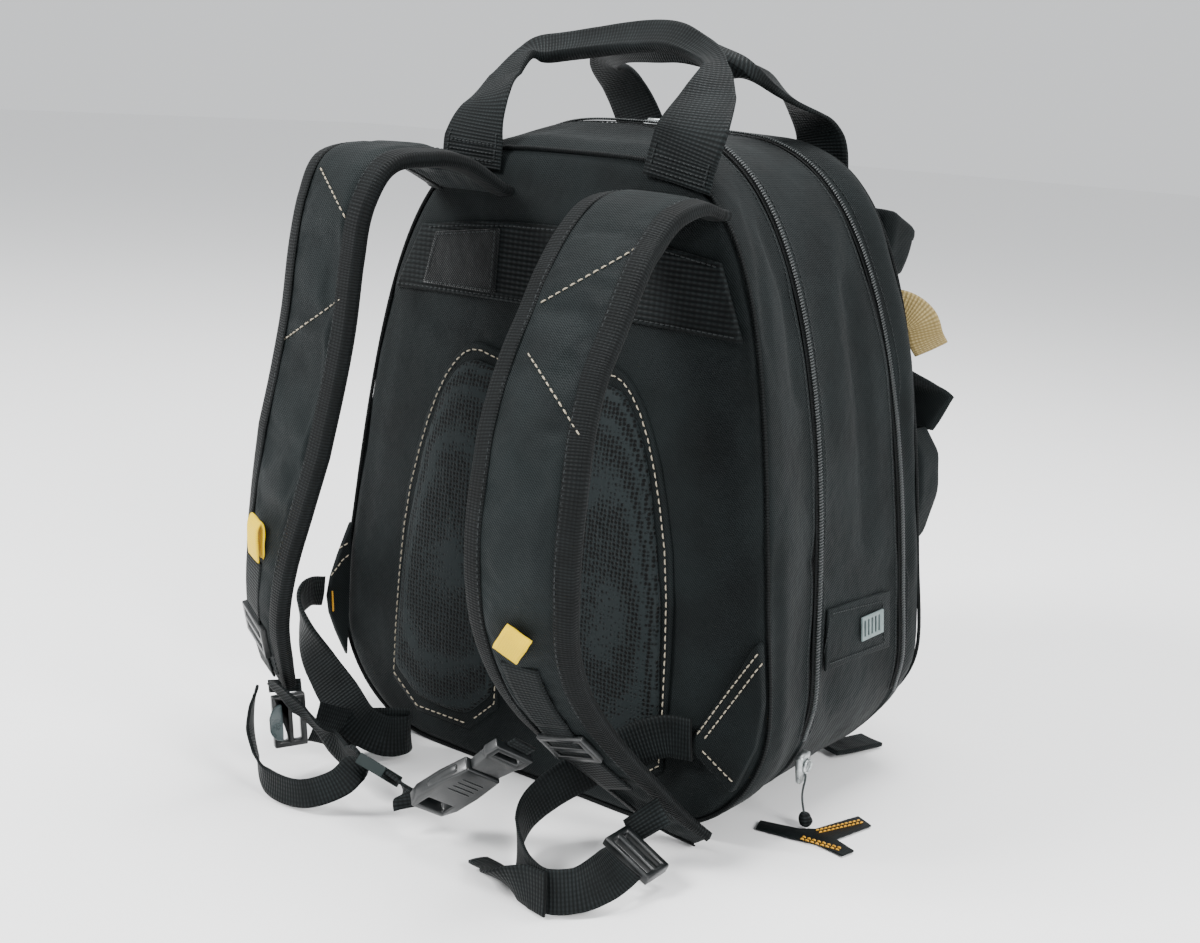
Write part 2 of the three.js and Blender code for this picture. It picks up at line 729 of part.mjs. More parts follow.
const lowerLeft = [
  { x: -1.82, out: 0.137, rise: 0.94, facing: [-1, 0, 0], wide: 0.8 },
  { x: -1.79, out: 0.25, rise: 0.97, facing: [-1, -0.2, 0], wide: 0.8 },
  { x: -1.73, out: 0.36, rise: 0.93, facing: [-1, -0.5, 0.1], wide: 0.9 },
  { x: -1.6, out: 0.42, rise: 0.8, facing: [-0.5, -0.9, 0] },
  { x: -1.42, out: 0.43, rise: 0.6, facing: [0.3, -0.9, 0] },
  { x: -1.22, out: 0.43, rise: 0.42, facing: [0.56, -0.79, 0.23] },
  { x: -1.02, out: 0.43, rise: 0.27, facing: [0.56, -0.79, 0.23] },
  { x: -0.86, out: 0.37, rise: 0.2, facing: [0.6, -0.7, 0.2] },
  { x: -0.78, out: 0.28, rise: 0.2, facing: [1, 0.1, 0] },
  { x: -0.86, out: 0.2, rise: 0.19, facing: [0, 1, 0] },
  { x: -1.02, out: 0.27, rise: 0.18, facing: [-0.5, 1, 0] },
  { x: -1.12, out: 0.45, rise: 0.21, facing: [-1, 0.5, 0] },
  { x: -1.125, out: 0.665, rise: 0.35, facing: [-1, 0, 0] },
];
add('lower_webbing_right', webbing(lowerRight, lowerWebWidth), 'webbing');
add('lower_webbing_left', webbing(lowerLeft, lowerWebWidth), 'webbing');

// Free end of the right lower webbing: it leaves the outside of the loop and lies down on the floor
const lowerTail = [
  { x: 1.24, out: 1.014, rise: 0.155, facing: [0.2, -1, 0] },
  { x: 1.1, out: 1.006, rise: 0.15, facing: [0, -1, -0.1] },
  { x: 0.98, out: 1.005, rise: 0.13, facing: [0, -1, -0.4], wide: 0.9 },
  { x: 0.86, out: 0.985, rise: 0.105, facing: [0, -0.7, -1], wide: 0.75 },
  { x: 0.74, out: 0.9, rise: 0.075, facing: [0, -0.3, -1], wide: 0.7 },
  { x: 0.57, out: 0.865, rise: 0.055, facing: [0, -0.1, -1], wide: 0.5 },
];
add('lower_tail_right', webbing(lowerTail, lowerWebWidth), 'webbing');

// Ladder locks: seat is their middle, across their long side, along the way the webbing runs
const ladders = {
  right: { x: 1.38, out: 0.525, rise: 0.195, across: [0.9, 0, -0.43], along: [0, -1, -0.05] },
  left: { x: -1.18, out: 0.79, rise: 0.4, across: [0.08, 0.04, -1], along: [0.5, 0.8, 0] },
};
for (const side of ['left', 'right']) {
  const { across, along, ...place } = ladders[side];
  const mesh = add(`ladder_lock_${side}`, slottedPlate(ladderLength, ladderWidth, ladderThick), 'plastic');
  setFrame(mesh, placeAt(place), vec(...across), vec(...along));
}

// Short webbing between each strap's tail and its ladder lock
const stubRight = [
  { x: 1.25, out: 0.372, rise: 0.37, facing: [0.25, -0.95, 0.1] },
  { x: 1.32, out: 0.39, rise: 0.31, facing: [0.25, -0.95, 0.1] },
  { x: 1.37, out: 0.39, rise: 0.255, facing: [0.25, -0.95, 0.1] },
];
const stubLeft = [
  { x: -1.222, out: 0.8, rise: 0.675, facing: [0.5, -0.8, 0] },
  { x: -1.21, out: 0.798, rise: 0.592, facing: [0.5, -0.8, 0] },
];
add('ladder_webbing_left', webbing(stubLeft, lowerWebWidth * 0.8), 'webbing');
add('ladder_webbing_right', webbing(stubRight, lowerWebWidth), 'webbing');

// Sternum strap
const sternumRight = [
  { x: 0.68, out: 0.737, rise: 0.744, facing: [0.62, -0.52, -0.56] },
  { x: 0.73, out: 0.725, rise: 0.787, facing: [0.62, -0.52, -0.56] },
];
const keeperPlace = { x: -0.279, out: 0.85, rise: 0.355 };
const keeperFacing = [-0.12, -0.6, -0.78];
const keeperLift = webThick / 2 + gap;
const keeperRun = [-1, 0, 0.154];
const sternumLeft = [
  { x: -0.01, out: 0.855, rise: 0.19, facing: [0.62, -0.52, -0.56] },
  { x: -0.05, out: 0.85, rise: 0.28, facing: [0.3, -0.6, -0.7], lift: -0.5 },
  { x: -0.16, out: 0.85, rise: 0.337, facing: keeperFacing, lift: -keeperLift },
  { ...keeperPlace, facing: keeperFacing, lift: -keeperLift },
  { x: -0.4, out: 0.85, rise: 0.373, facing: keeperFacing, lift: -keeperLift },
  { x: -0.45, out: 0.845, rise: 0.38, facing: [0, -0.8, -0.5], lift: -1.2 },
  { x: -0.6, out: 0.8, rise: 0.31, facing: [0, -1, -0.2] },
  { x: -0.84, out: 0.76, rise: 0.36, facing: [-0.4, -1, 0] },
  { x: -0.98, out: 0.86, rise: 0.56, facing: [-0.3, -1, 0] },
  { x: -1.12, out: 0.94, rise: 0.74, facing: [-0.5, -1, 0] },
];
const sternumTail = [
  { x: -0.16, out: 0.85, rise: 0.337, facing: keeperFacing, lift: keeperLift },
  { ...keeperPlace, facing: keeperFacing, lift: keeperLift },
  { x: -0.4, out: 0.85, rise: 0.373, facing: keeperFacing, lift: keeperLift },
  { x: -0.44, out: 0.865, rise: 0.345, facing: [0, -0.8, -0.5], lift: 1.5 },
  { x: -0.5, out: 0.93, rise: 0.24, facing: [0, -1, -0.3] },
  { x: -0.68, out: 1.01, rise: 0.14, facing: [0, -1, 0] },
  { x: -0.88, out: 1.03, rise: 0.115, facing: [-0.1, -1, 0] },
  { x: -1.06, out: 1.02, rise: 0.14, facing: [-0.5, -0.8, 0] },
  { x: -1.17, out: 1, rise: 0.25, facing: [-0.8, -0.6, 0] },
  { x: -1.25, out: 0.985, rise: 0.41, facing: [-0.8, -0.6, 0] },
  { x: -1.23, out: 0.985, rise: 0.6, facing: [-0.8, -0.6, 0], wide: 0.9 },
  { x: -1.2, out: 0.985, rise: 0.68, facing: [-0.8, -0.6, 0], wide: 0.6 },
];
add('sternum_webbing_right', webbing(sternumRight, sternumWidth), 'webbing');
add('sternum_webbing_left', webbing(sternumLeft, sternumWidth), 'webbing');
add('sternum_tail', webbing(sternumTail, sternumWidth), 'webbing');

// Side-release buckle of the sternum strap: its two halves lie in one frame
const buckleFrame = {
  female: { x: 0.289, out: 0.807, rise: 0.402 },
  male: { x: 0.57, out: 0.757, rise: 0.648 },
};
const buckleAcross = vec(0.1, 0.78, -0.61);

const femaleMiddle = placeAt(buckleFrame.female);
const buckleAlong = placeAt(buckleFrame.male).sub(femaleMiddle).normalize();
const femaleOutline = [
  [-buckleWidth * 0.38, -femaleLength / 2], [buckleWidth * 0.38, -femaleLength / 2],
  [buckleWidth * 0.5, -femaleLength * 0.3], [buckleWidth * 0.5, femaleLength * 0.1],
  [buckleWidth * 0.42, femaleLength / 2], [-buckleWidth * 0.42, femaleLength / 2],
  [-buckleWidth * 0.5, femaleLength * 0.1], [-buckleWidth * 0.5, -femaleLength * 0.3],
];
const femaleWindowMiddle = barWidth + windowLength / 2 - femaleLength / 2;
const femaleWindow = rectangle(sternumWidth + slotPlay, windowLength, femaleWindowMiddle);
const female = add('buckle_female', extrudedPlate(femaleOutline, [femaleWindow], buckleThick), 'plastic');
setFrame(female, femaleMiddle, buckleAcross.clone().projectOnPlane(buckleAlong), buckleAlong);

const maleOutline = [
  [-buckleWidth * 0.34, -maleLength / 2], [buckleWidth * 0.34, -maleLength / 2],
  [buckleWidth * 0.4, 0], [buckleWidth * 0.46, maleLength * 0.1], [buckleWidth * 0.46, maleLength / 2],
  [-buckleWidth * 0.46, maleLength / 2], [-buckleWidth * 0.46, maleLength * 0.1], [-buckleWidth * 0.4, 0],
];
const maleWindowMiddle = maleLength / 2 - barWidth - windowLength / 4;
const maleWindow = rectangle(sternumWidth + slotPlay, windowLength / 2, maleWindowMiddle);
const maleThick = buckleThick * 0.7;
const male = add('buckle_male', extrudedPlate(maleOutline, [maleWindow], maleThick), 'plastic');
const maleMiddle = femaleMiddle.clone().addScaledVector(buckleAlong, (femaleLength + maleLength) / 2 + gap);
setFrame(male, maleMiddle, buckleAcross.clone().projectOnPlane(buckleAlong), buckleAlong);

// Elastic keeper: a flat sleeve round the sternum webbing and its free end
const keeperLength = 22;
const keeperThick = 1.2;
const keeperHole = { width: sternumWidth + 1, height: 2 * webThick + 4 * gap };
const sleeve = extrudedPlate(
  rectangle(keeperHole.width + 2 * keeperThick, keeperHole.height + 2 * keeperThick),
  [rectangle(keeperHole.width, keeperHole.height)],
  keeperLength,
);
const keeper = add('keeper', sleeve, 'grey');
const keeperOut = vec(...keeperFacing).normalize();
setFrame(keeper, placeAt(keeperPlace), vec(...keeperRun).cross(keeperOut), keeperOut);

// Grab handles: two loops of wide webbing, each folded to half its width along the grip.
// side is a share of handleSpan, depth of bagDepth from the back seam, rise of bagHeight.
const handleSpan = 90;

const handleTables = {
  handle_rear: [
    { side: -0.88, depth: 0.013, rise: 0.888, width: 1, thick: 1, facing: [0, -1, 0.05] },
    { side: -0.87, depth: 0.016, rise: 0.926, width: 1, thick: 1, facing: [0, -1, 0.1] },
    { side: -0.85, depth: 0.058, rise: 0.981, width: 0.85, thick: 1, facing: [-0.2, -0.9, 0.3] },
    { side: -0.87, depth: 0.155, rise: 1.018, width: 0.6, thick: 1.2, facing: [-0.2, -0.9, 0.4] },
    { side: -0.84, depth: 0.251, rise: 1.052, width: 0.42, thick: 1.6, facing: [-0.4, -0.8, 0.5] },
    { side: -0.66, depth: 0.309, rise: 1.062, width: 0.34, thick: 2, facing: [-0.2, -1, 0.7] },
    { side: -0.36, depth: 0.348, rise: 1.073, width: 0.36, thick: 2, facing: [0, -1, 0.8] },
    { side: -0.04, depth: 0.367, rise: 1.083, width: 0.42, thick: 2, facing: [0, -1, 0.8] },
    { side: 0.32, depth: 0.357, rise: 1.081, width: 0.38, thick: 2, facing: [0, -1, 0.8] },
    { side: 0.59, depth: 0.329, rise: 1.063, width: 0.32, thick: 1.8, facing: [0.2, -1, 0.8] },
    { side: 0.79, depth: 0.251, rise: 1.042, width: 0.3, thick: 1.6, facing: [0.6, -0.9, 0.5] },
    { side: 0.92, depth: 0.135, rise: 1.006, width: 0.7, thick: 1.2, facing: [0.3, -0.9, 0.4] },
    { side: 0.97, depth: 0.029, rise: 0.963, width: 0.95, thick: 1, facing: [0.1, -1, 0.2] },
    { side: 0.93, depth: 0.016, rise: 0.924, width: 1, thick: 1, facing: [0, -1, 0.1] },
    { side: 0.9, depth: 0.013, rise: 0.892, width: 1, thick: 1, facing: [0, -1, 0.05] },
  ],
  handle_front: [
    { side: -0.95, depth: 1.012, rise: 0.9, width: 0.9, thick: 1, facing: [0, 1, 0.1] },
    { side: -1.0, depth: 1.005, rise: 0.955, width: 0.85, thick: 1, facing: [-0.1, 1, 0.4] },
    { side: -1.08, depth: 0.928, rise: 1.017, width: 0.7, thick: 1, facing: [-0.2, 0.9, 0.5] },
    { side: -1.05, depth: 0.797, rise: 1.05, width: 0.5, thick: 1.2, facing: [-0.3, 0.9, 0.6] },
    { side: -0.7, depth: 0.676, rise: 1.066, width: 0.3, thick: 1.8, facing: [-0.2, 1, 0.6] },
    { side: -0.24, depth: 0.609, rise: 1.07, width: 0.28, thick: 2, facing: [0, 1, 0.6] },
    { side: 0.15, depth: 0.589, rise: 1.068, width: 0.28, thick: 2, facing: [0, 1, 0.6] },
    { side: 0.45, depth: 0.618, rise: 1.051, width: 0.28, thick: 1.8, facing: [0.3, 1, 0.6] },
    { side: 0.54, depth: 0.73, rise: 1.036, width: 0.36, thick: 1.4, facing: [0.7, 0.7, 0.5] },
    { side: 0.57, depth: 0.85, rise: 1.018, width: 0.5, thick: 1.2, facing: [0.6, 0.6, 0.6] },
    { side: 0.63, depth: 0.95, rise: 0.99, width: 0.75, thick: 1, facing: [0.3, 0.8, 0.6] },
    { side: 0.7, depth: 1.005, rise: 0.955, width: 0.85, thick: 1, facing: [0.1, 1, 0.4] },
    { side: 0.72, depth: 1.012, rise: 0.9, width: 0.9, thick: 1, facing: [0, 1, 0.1] },
  ],
};
for (const [name, table] of Object.entries(handleTables)) {
  const rows = table.map(({ side, depth, rise, width, thick, facing }) => ({
    at: vec(side * handleSpan, backY + depth * bagDepth, rise * bagHeight),
    facing: vec(...facing),
    width: width * handleWidth,
    thick: thick * handleThick,
  }));
  add(name, loft(stations(rows, 2).map(flatRing)), 'webbing');
}

// Point on the gusset's right side at a height, between two of its rows
function sidePoint(seam, forward, z, clear) {
  const right = places.map((place, i) => i).filter((i) => places[i].side > 0 && places[i].part !== 'base');
  const k = right.findIndex((i) => seamPoint(seam, i).z >= z);
  const low = seamPoint(seam, right[k - 1], forward);
  const high = seamPoint(seam, right[k], forward);
  const point = low.lerp(high, (z - low.z) / (high.z - low.z));
  return point.add(vec(clear, 0, 0));
}

// Side patch with its slotted plate, between the two zips. level and drop are heights.
const sidePatch = { level: 127, height: 39, drop: 5, margin: 5, farMargin: 15 };

function sidePatchSolid() {
  const columns = [
    { seam: seams.nearZip, forward: zipWidth / 2 + sidePatch.margin, drop: 0 },
    { seam: seams.middle, forward: 0, drop: 0.5 },
    { seam: seams.farZip, forward: -zipWidth / 2 - sidePatch.farMargin, drop: 1 },
  ];
  const rings = columns.map(({ seam, forward, drop }) => {
    const low = sidePatch.level - sidePatch.height / 2 - drop * sidePatch.drop;
    const high = low + sidePatch.height;
    return [
      sidePoint(seam, forward, low, 2 * gap),
      sidePoint(seam, forward, low, 2 * gap + patchSideThick),
      sidePoint(seam, forward, high, 2 * gap + patchSideThick),
      sidePoint(seam, forward, high, 2 * gap),
    ];
  });
  return loft(rings);
}

add('side_patch', sidePatchSolid(), 'fabric');

const plateSize = { length: 29, height: 16, thick: 1.5, slots: 5, border: 2.5 };

// Flat plate on a grid of columns and rows, open where a cell is left out
function gridPlate(columns, rows, open, thick) {
  const across = columns.length;
  const points = [];
  for (const face of [-1, 1]) {
    rows.forEach((y) => columns.forEach((x) => points.push(vec(x, y, face * thick / 2))));
  }
  const front = across * rows.length;
  const present = (i, j) => i >= 0 && j >= 0 && i < across - 1 && j < rows.length - 1 && !open(i, j);
  const faces = [];
  const quad = (a, b, c, d) => faces.push([a, b, c], [a, c, d]);
  const wall = (a, b) => quad(a, b, front + b, front + a);
  for (let j = 0; j < rows.length - 1; j += 1) {
    for (let i = 0; i < across - 1; i += 1) {
      const a = j * across + i;
      const [b, c, d] = [a + 1, a + 1 + across, a + across];
      if (present(i, j)) {
        quad(a, d, c, b);
        quad(front + a, front + b, front + c, front + d);
        if (!present(i, j - 1)) {
          wall(a, b);
        }
        if (!present(i + 1, j)) {
          wall(b, c);
        }
        if (!present(i, j + 1)) {
          wall(c, d);
        }
        if (!present(i - 1, j)) {
          wall(d, a);
        }
      }
    }
  }
  const used = [...new Set(faces.flat())];
  const index = new Map(used.map((old, k) => [old, k]));
  return closedSolid(used.map((old) => points[old]), faces.map((face) => face.map((old) => index.get(old))));
}

function slottedLabel() {
  const { length, height, slots, border, thick } = plateSize;
  const columns = [-length / 2];
  for (let i = 0; i <= 2 * slots; i += 1) {
    columns.push(-length / 2 + border + (i / (2 * slots)) * (length - 2 * border));
  }
  columns.push(length / 2);
  const rows = [-height / 2, border - height / 2, height / 2 - border, height / 2];
  return gridPlate(columns, rows, (i, j) => j === 1 && i % 2 === 1 && i < 2 * slots, thick);
}

const plateSpot = { from: seams.middle, to: seams.farZip, share: 0.2 };
const plateLevel = sidePatch.level - sidePatch.drop / 2;
const plateLow = sidePoint(plateSpot.from, 0, plateLevel - plateSize.height / 2, 0);
const plateHigh = sidePoint(plateSpot.from, 0, plateLevel + plateSize.height / 2, 0);
const plateFar = sidePoint(plateSpot.to, -zipWidth / 2 - sidePatch.margin, plateLevel, 0);
const plateMiddle = plateLow.clone().lerp(plateHigh, 0.5).lerp(plateFar, plateSpot.share);
plateMiddle.x += 4 * gap + patchSideThick + plateSize.thick / 2 + 0.6;
const label = add('slotted_plate', slottedLabel(), 'grey');
const plateAlong = plateFar.clone().sub(plateLow.clone().lerp(plateHigh, 0.5));
setFrame(label, plateMiddle, plateAlong, plateHigh.clone().sub(plateLow));

// Front pockets: open-topped cloth boxes on the front panel. rise is a height on the panel,
// half a share of bagWidth, root and out are distances in front of the bag's front seam line.
const frontSeat = frontCrown + gap;

function frontY(z) {
  return seamDepth(seams.front, z) + frontSeat;
}

function pocketRing({ rise, half, out, root = 0 }, inset) {
  const width = half * bagWidth - inset;
  const z = rise * bagHeight;
  const back = frontY(z) + root + inset;
  const front = frontY(z) + out - inset;
  const slope = 0.12 * out;
  return [
    vec(-width + slope, back, z), vec(width - slope, back, z), vec(width, front - slope, z),
    vec(width * 0.88, front, z), vec(0, front + slope, z), vec(-width * 0.88, front, z),
    vec(-width, front - slope, z),
  ];
}

function pocket(rows, rimDrop) {
  const outer = rows.map((row) => pocketRing(row, 0));
  const inner = rows.map((row) => pocketRing(row, pocketThick)).reverse();
  inner.at(-1).forEach((p) => p.add(vec(0, 0, pocketThick)));
  const rim = rows.at(-1);
  for (const ring of [outer.at(-1), inner[0]]) {
    ring.forEach((p) => p.add(vec(0, 0, -rimDrop * (p.y - frontY(rim.rise * bagHeight)) / rim.out)));
  }
  return loft([...outer, ...inner]);
}

const upperPocket = [
  { rise: 0.745, half: 0.335, out: 24 },
  { rise: 0.8, half: 0.35, out: 31 },
  { rise: 0.862, half: 0.355, out: 34 },
];
const lowerPocket = [
  { rise: 0.335, half: 0.42, out: 12 },
  { rise: 0.36, half: 0.445, out: 22 },
  { rise: 0.43, half: 0.46, out: 30 },
  { rise: 0.49, half: 0.455, out: 30 },
  { rise: 0.53, half: 0.425, out: 26 },
];
add('upper_pocket', pocket(upperPocket, 17), 'fabric');
add('lower_pocket', pocket(lowerPocket, 0), 'fabric');

// Flap over the lower pocket. rise is a share of bagHeight, wide of bagWidth, out is millimetres.
const flapThick = 2.5;
const flapRows = [
  { rise: 0.64, out: 1.6, wide: 0.72, facing: [0, 1, 0.1] },
  { rise: 0.622, out: 8, wide: 0.78, facing: [0, 1, 0.8] },
  { rise: 0.6, out: 22, wide: 0.86, facing: [0, 1, 1] },
  { rise: 0.577, out: 36, wide: 0.92, facing: [0, 1, 0.3] },
  { rise: 0.52, out: 36, wide: 0.84, facing: [0, 1, 0] },
];

function flapSolid() {
  const rows = flapRows.map(({ rise, out, wide, facing }) => ({
    at: vec(0, frontY(rise * bagHeight) + out, rise * bagHeight),
    facing: vec(...facing),
    width: wide * bagWidth,
    thick: flapThick,
  }));
  return loft(stations(rows, 2).map(flatRing));
}

add('pocket_flap', flapSolid(), 'fabric');

// Khaki tool loop, between the two pockets. side is a share of bagWidth, rise of bagHeight.
const loopRows = [
  { side: 0.32, out: 1.8, rise: 0.713 },
  { side: 0.372, out: 8, rise: 0.711 },
  { side: 0.4, out: 13, rise: 0.695 },
  { side: 0.41, out: 18, rise: 0.667 },
  { side: 0.413, out: 26, rise: 0.65 },
];

function loopSolid() {
  const rows = loopRows.map(({ side, out, rise }) => ({
    at: vec(side * bagWidth, frontY(rise * bagHeight) + out, rise * bagHeight),
    facing: vec(-0.42, 0.9, 0),
    width: loopWidth,
    thick: webThick,
  }));
  return loft(stations(rows, 2).map(flatRing));
}

add('khaki_loop', loopSolid(), 'khaki');

// Tab under the front edge. side is a share of bagWidth, depth of bagDepth from the back seam.
const footTabWidth = 21;
const footTabThick = 3;
const footTabRows = [
  { side: 0.365, depth: 0.87, rise: 6 },
  { side: 0.38, depth: 0.94, rise: 5 },
  { side: 0.39, depth: 1.02, rise: 3.6 },
  { side: 0.4, depth: 1.09, rise: 2.6 },
];

function footTab() {
  const rows = footTabRows.map(({ side, depth, rise }) => ({
    at: vec(side * bagWidth, backY + depth * bagDepth, rise),
    facing: vec(0, 0, 1),
    width: footTabWidth,
    thick: footTabThick,
  }));
  return loft(stations(rows, 2).map(flatRing));
}

add('foot_tab', footTab(), 'fabric');

// Zip sliders. The rear one hangs off its zip's lower right end with a cord, a knot and a strip.
// side is a share of bagWidth, depth of bagDepth from the back seam.
const sliderRows = [
  { side: 0.489, depth: 0.252, rise: 56, wide: 1, thick: 1 },
  { side: 0.488, depth: 0.262, rise: 46, wide: 1, thick: 0.9 },
  { side: 0.485, depth: 0.27, rise: 36, wide: 0.7, thick: 0.6 },
];

function placeOnBag({ side, depth, rise }) {
  return vec(side * bagWidth, backY + depth * bagDepth, rise);
}

function sliderSolid() {
  const rows = sliderRows.map(({ wide, thick, ...place }) => ({
    at: placeOnBag(place),
    facing: vec(1, 0, 0),
    width: wide * sliderWidth,
    thick: thick * sliderThick,
  }));
  return loft(stations(rows, 1).map(flatRing));
}

add('zip_slider_rear', sliderSolid(), 'metal');

const topSlider = { side: -0.12, rise: 0.9605 };

function topSliderSolid() {
  const geometry = plain(new THREE.BoxGeometry(sliderLength * 0.6, sliderWidth, sliderThick));
  const z = topSlider.rise * bagHeight;
  geometry.translate(topSlider.side * bagWidth, seamDepth(seams.farZip, z), z);
  return geometry;
}

add('zip_slider_front', topSliderSolid(), 'metal');

const cordRadius = 0.75;
const knotTop = 13;
const stripTop = 2.6;

// Bar through round rings, each with its own place, radius and height, squashed along X
function ringBar(rings, sides, squash = 1) {
  return loft(rings.map(({ radius, ...place }) => Array.from({ length: sides }, (value, i) => {
    const turn = (i / sides) * Math.PI * 2;
    return placeOnBag(place).add(vec(radius * squash * Math.cos(turn), radius * Math.sin(turn), 0));
  })));
}

const cordRings = [
  { side: 0.4885, depth: 0.301, rise: knotTop + gap, radius: cordRadius },
  { side: 0.4855, depth: 0.278, rise: sliderRows.at(-1).rise - 1, radius: cordRadius },
];
const knotRings = [
  { side: 0.4935, depth: 0.31, rise: stripTop + gap, radius: 4 },
  { side: 0.492, depth: 0.308, rise: stripTop + 3, radius: 6 },
  { side: 0.49, depth: 0.304, rise: knotTop - 3, radius: 5 },
  { side: 0.4885, depth: 0.301, rise: knotTop, radius: 2.5 },
];
add('pull_cord', ringBar(cordRings, 8), 'grey');
add('pull_knot', ringBar(knotRings, 10, 0.7), 'webbing');

// Flat pull strip on the floor, forked at its free end. Shares of stripReach, from the knot.
const stripReach = 46;
const stripThick = 2;
const stripOutline = [
  [-0.44, -0.36], [0.1, -0.26], [0.42, -0.16], [0.86, -0.24], [0.92, 0], [0.56, 0.14], [0.74, 0.88],
  [0.46, 1.02], [0.2, 0.22], [0.02, 0.06], [-0.52, -0.1],
];

function stripSolid() {
  const middle = placeOnBag({ side: 0.485, depth: 0.27, rise: stripTop - stripThick / 2 });
  const corners = stripOutline.map(([x, y]) => [middle.x + x * stripReach, middle.y + y * stripReach]);
  const geometry = extrudedPlate(corners, [], stripThick);
  geometry.translate(0, 0, middle.z);
  return geometry;
}

add('pull_strip', stripSolid(), 'webbing');

export default parts;
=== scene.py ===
# Looks of the tool backpack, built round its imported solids. Lengths in this script are millimetres.
import math

import bmesh
import bpy
from mathutils import Matrix, Vector, noise
from mathutils.bvhtree import BVHTree


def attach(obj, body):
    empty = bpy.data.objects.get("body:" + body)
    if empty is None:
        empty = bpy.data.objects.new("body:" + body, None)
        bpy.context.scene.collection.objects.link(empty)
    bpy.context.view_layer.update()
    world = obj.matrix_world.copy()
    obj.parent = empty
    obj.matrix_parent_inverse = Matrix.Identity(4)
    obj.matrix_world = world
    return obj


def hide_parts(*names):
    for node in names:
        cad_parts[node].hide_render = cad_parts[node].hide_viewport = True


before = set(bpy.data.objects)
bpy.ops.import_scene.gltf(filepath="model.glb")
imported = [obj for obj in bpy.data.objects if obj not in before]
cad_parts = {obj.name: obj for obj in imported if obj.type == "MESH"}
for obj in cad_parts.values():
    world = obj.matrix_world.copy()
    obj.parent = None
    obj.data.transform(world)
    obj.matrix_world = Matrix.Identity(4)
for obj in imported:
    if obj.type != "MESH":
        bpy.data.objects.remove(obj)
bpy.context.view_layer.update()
scene = bpy.context.scene

MM = 0.001

# Driving sizes of the bag, as its solids have them
BAG_HEIGHT = 455
BAG_WIDTH = 362
BAG_DEPTH = 207
CORNER_WIDTH = 92.5
CORNER_HEIGHT = 89.4
SIDE_TAPER = 0.115
GAP = 0.3
PANEL_CROWN = 4
FRONT_CROWN = 12
PANEL_EDGE = 6
GUSSET_WALL = 3
BAND_HEIGHT = 54
BAND_LEVEL = 346
PAD_WIDTH = 96
PAD_HEIGHT = 270
PAD_THICK = 11
PAD_LEVEL = 22
PAD_INNER = 20
PAD_MIDDLE = -7
ZIP_WIDTH = 13
ZIP_END = 50
STRAP_WIDTH = 71
STRAP_THICK = 12
STRAP_SPREAD = 100
STRAP_REACH = 140
STRAP_HEIGHT = 391
HANG_HEIGHT = 100
WEB_THICK = 1.8
LOWER_WEB = 28
STERNUM_WEB = 19
RAIL_WEB = 25
TAB_WIDTH = 17
HANDLE_WIDTH = 50
HANDLE_THICK = 2.2
HANDLE_SPAN = 90
BACK_Y = -BAG_DEPTH / 2

# The photograph's frame and viewpoint
PHOTO_WIDTH = 1200
PHOTO_HEIGHT = 943
FOCAL_PIXELS = 1569
SENSOR = 36
TARGET = Vector((-29.3, -3.5, 193.8))
DISTANCE = 1120
AZIMUTH = math.radians(35.314)
ELEVATION = math.radians(13.413)
ROLL = math.radians(3.847)

KEEPER_PLACE = (-0.279, 0.85, 0.355)
KEEPER_FACING = (-0.12, -0.6, -0.78)
KEEPER_LIFT = WEB_THICK / 2 + GAP


# Rows of values under one list of keys; keys that a short row doesn't reach are left out
def table(keys, *rows):
    return [dict(zip(keys.split(), row)) for row in rows]


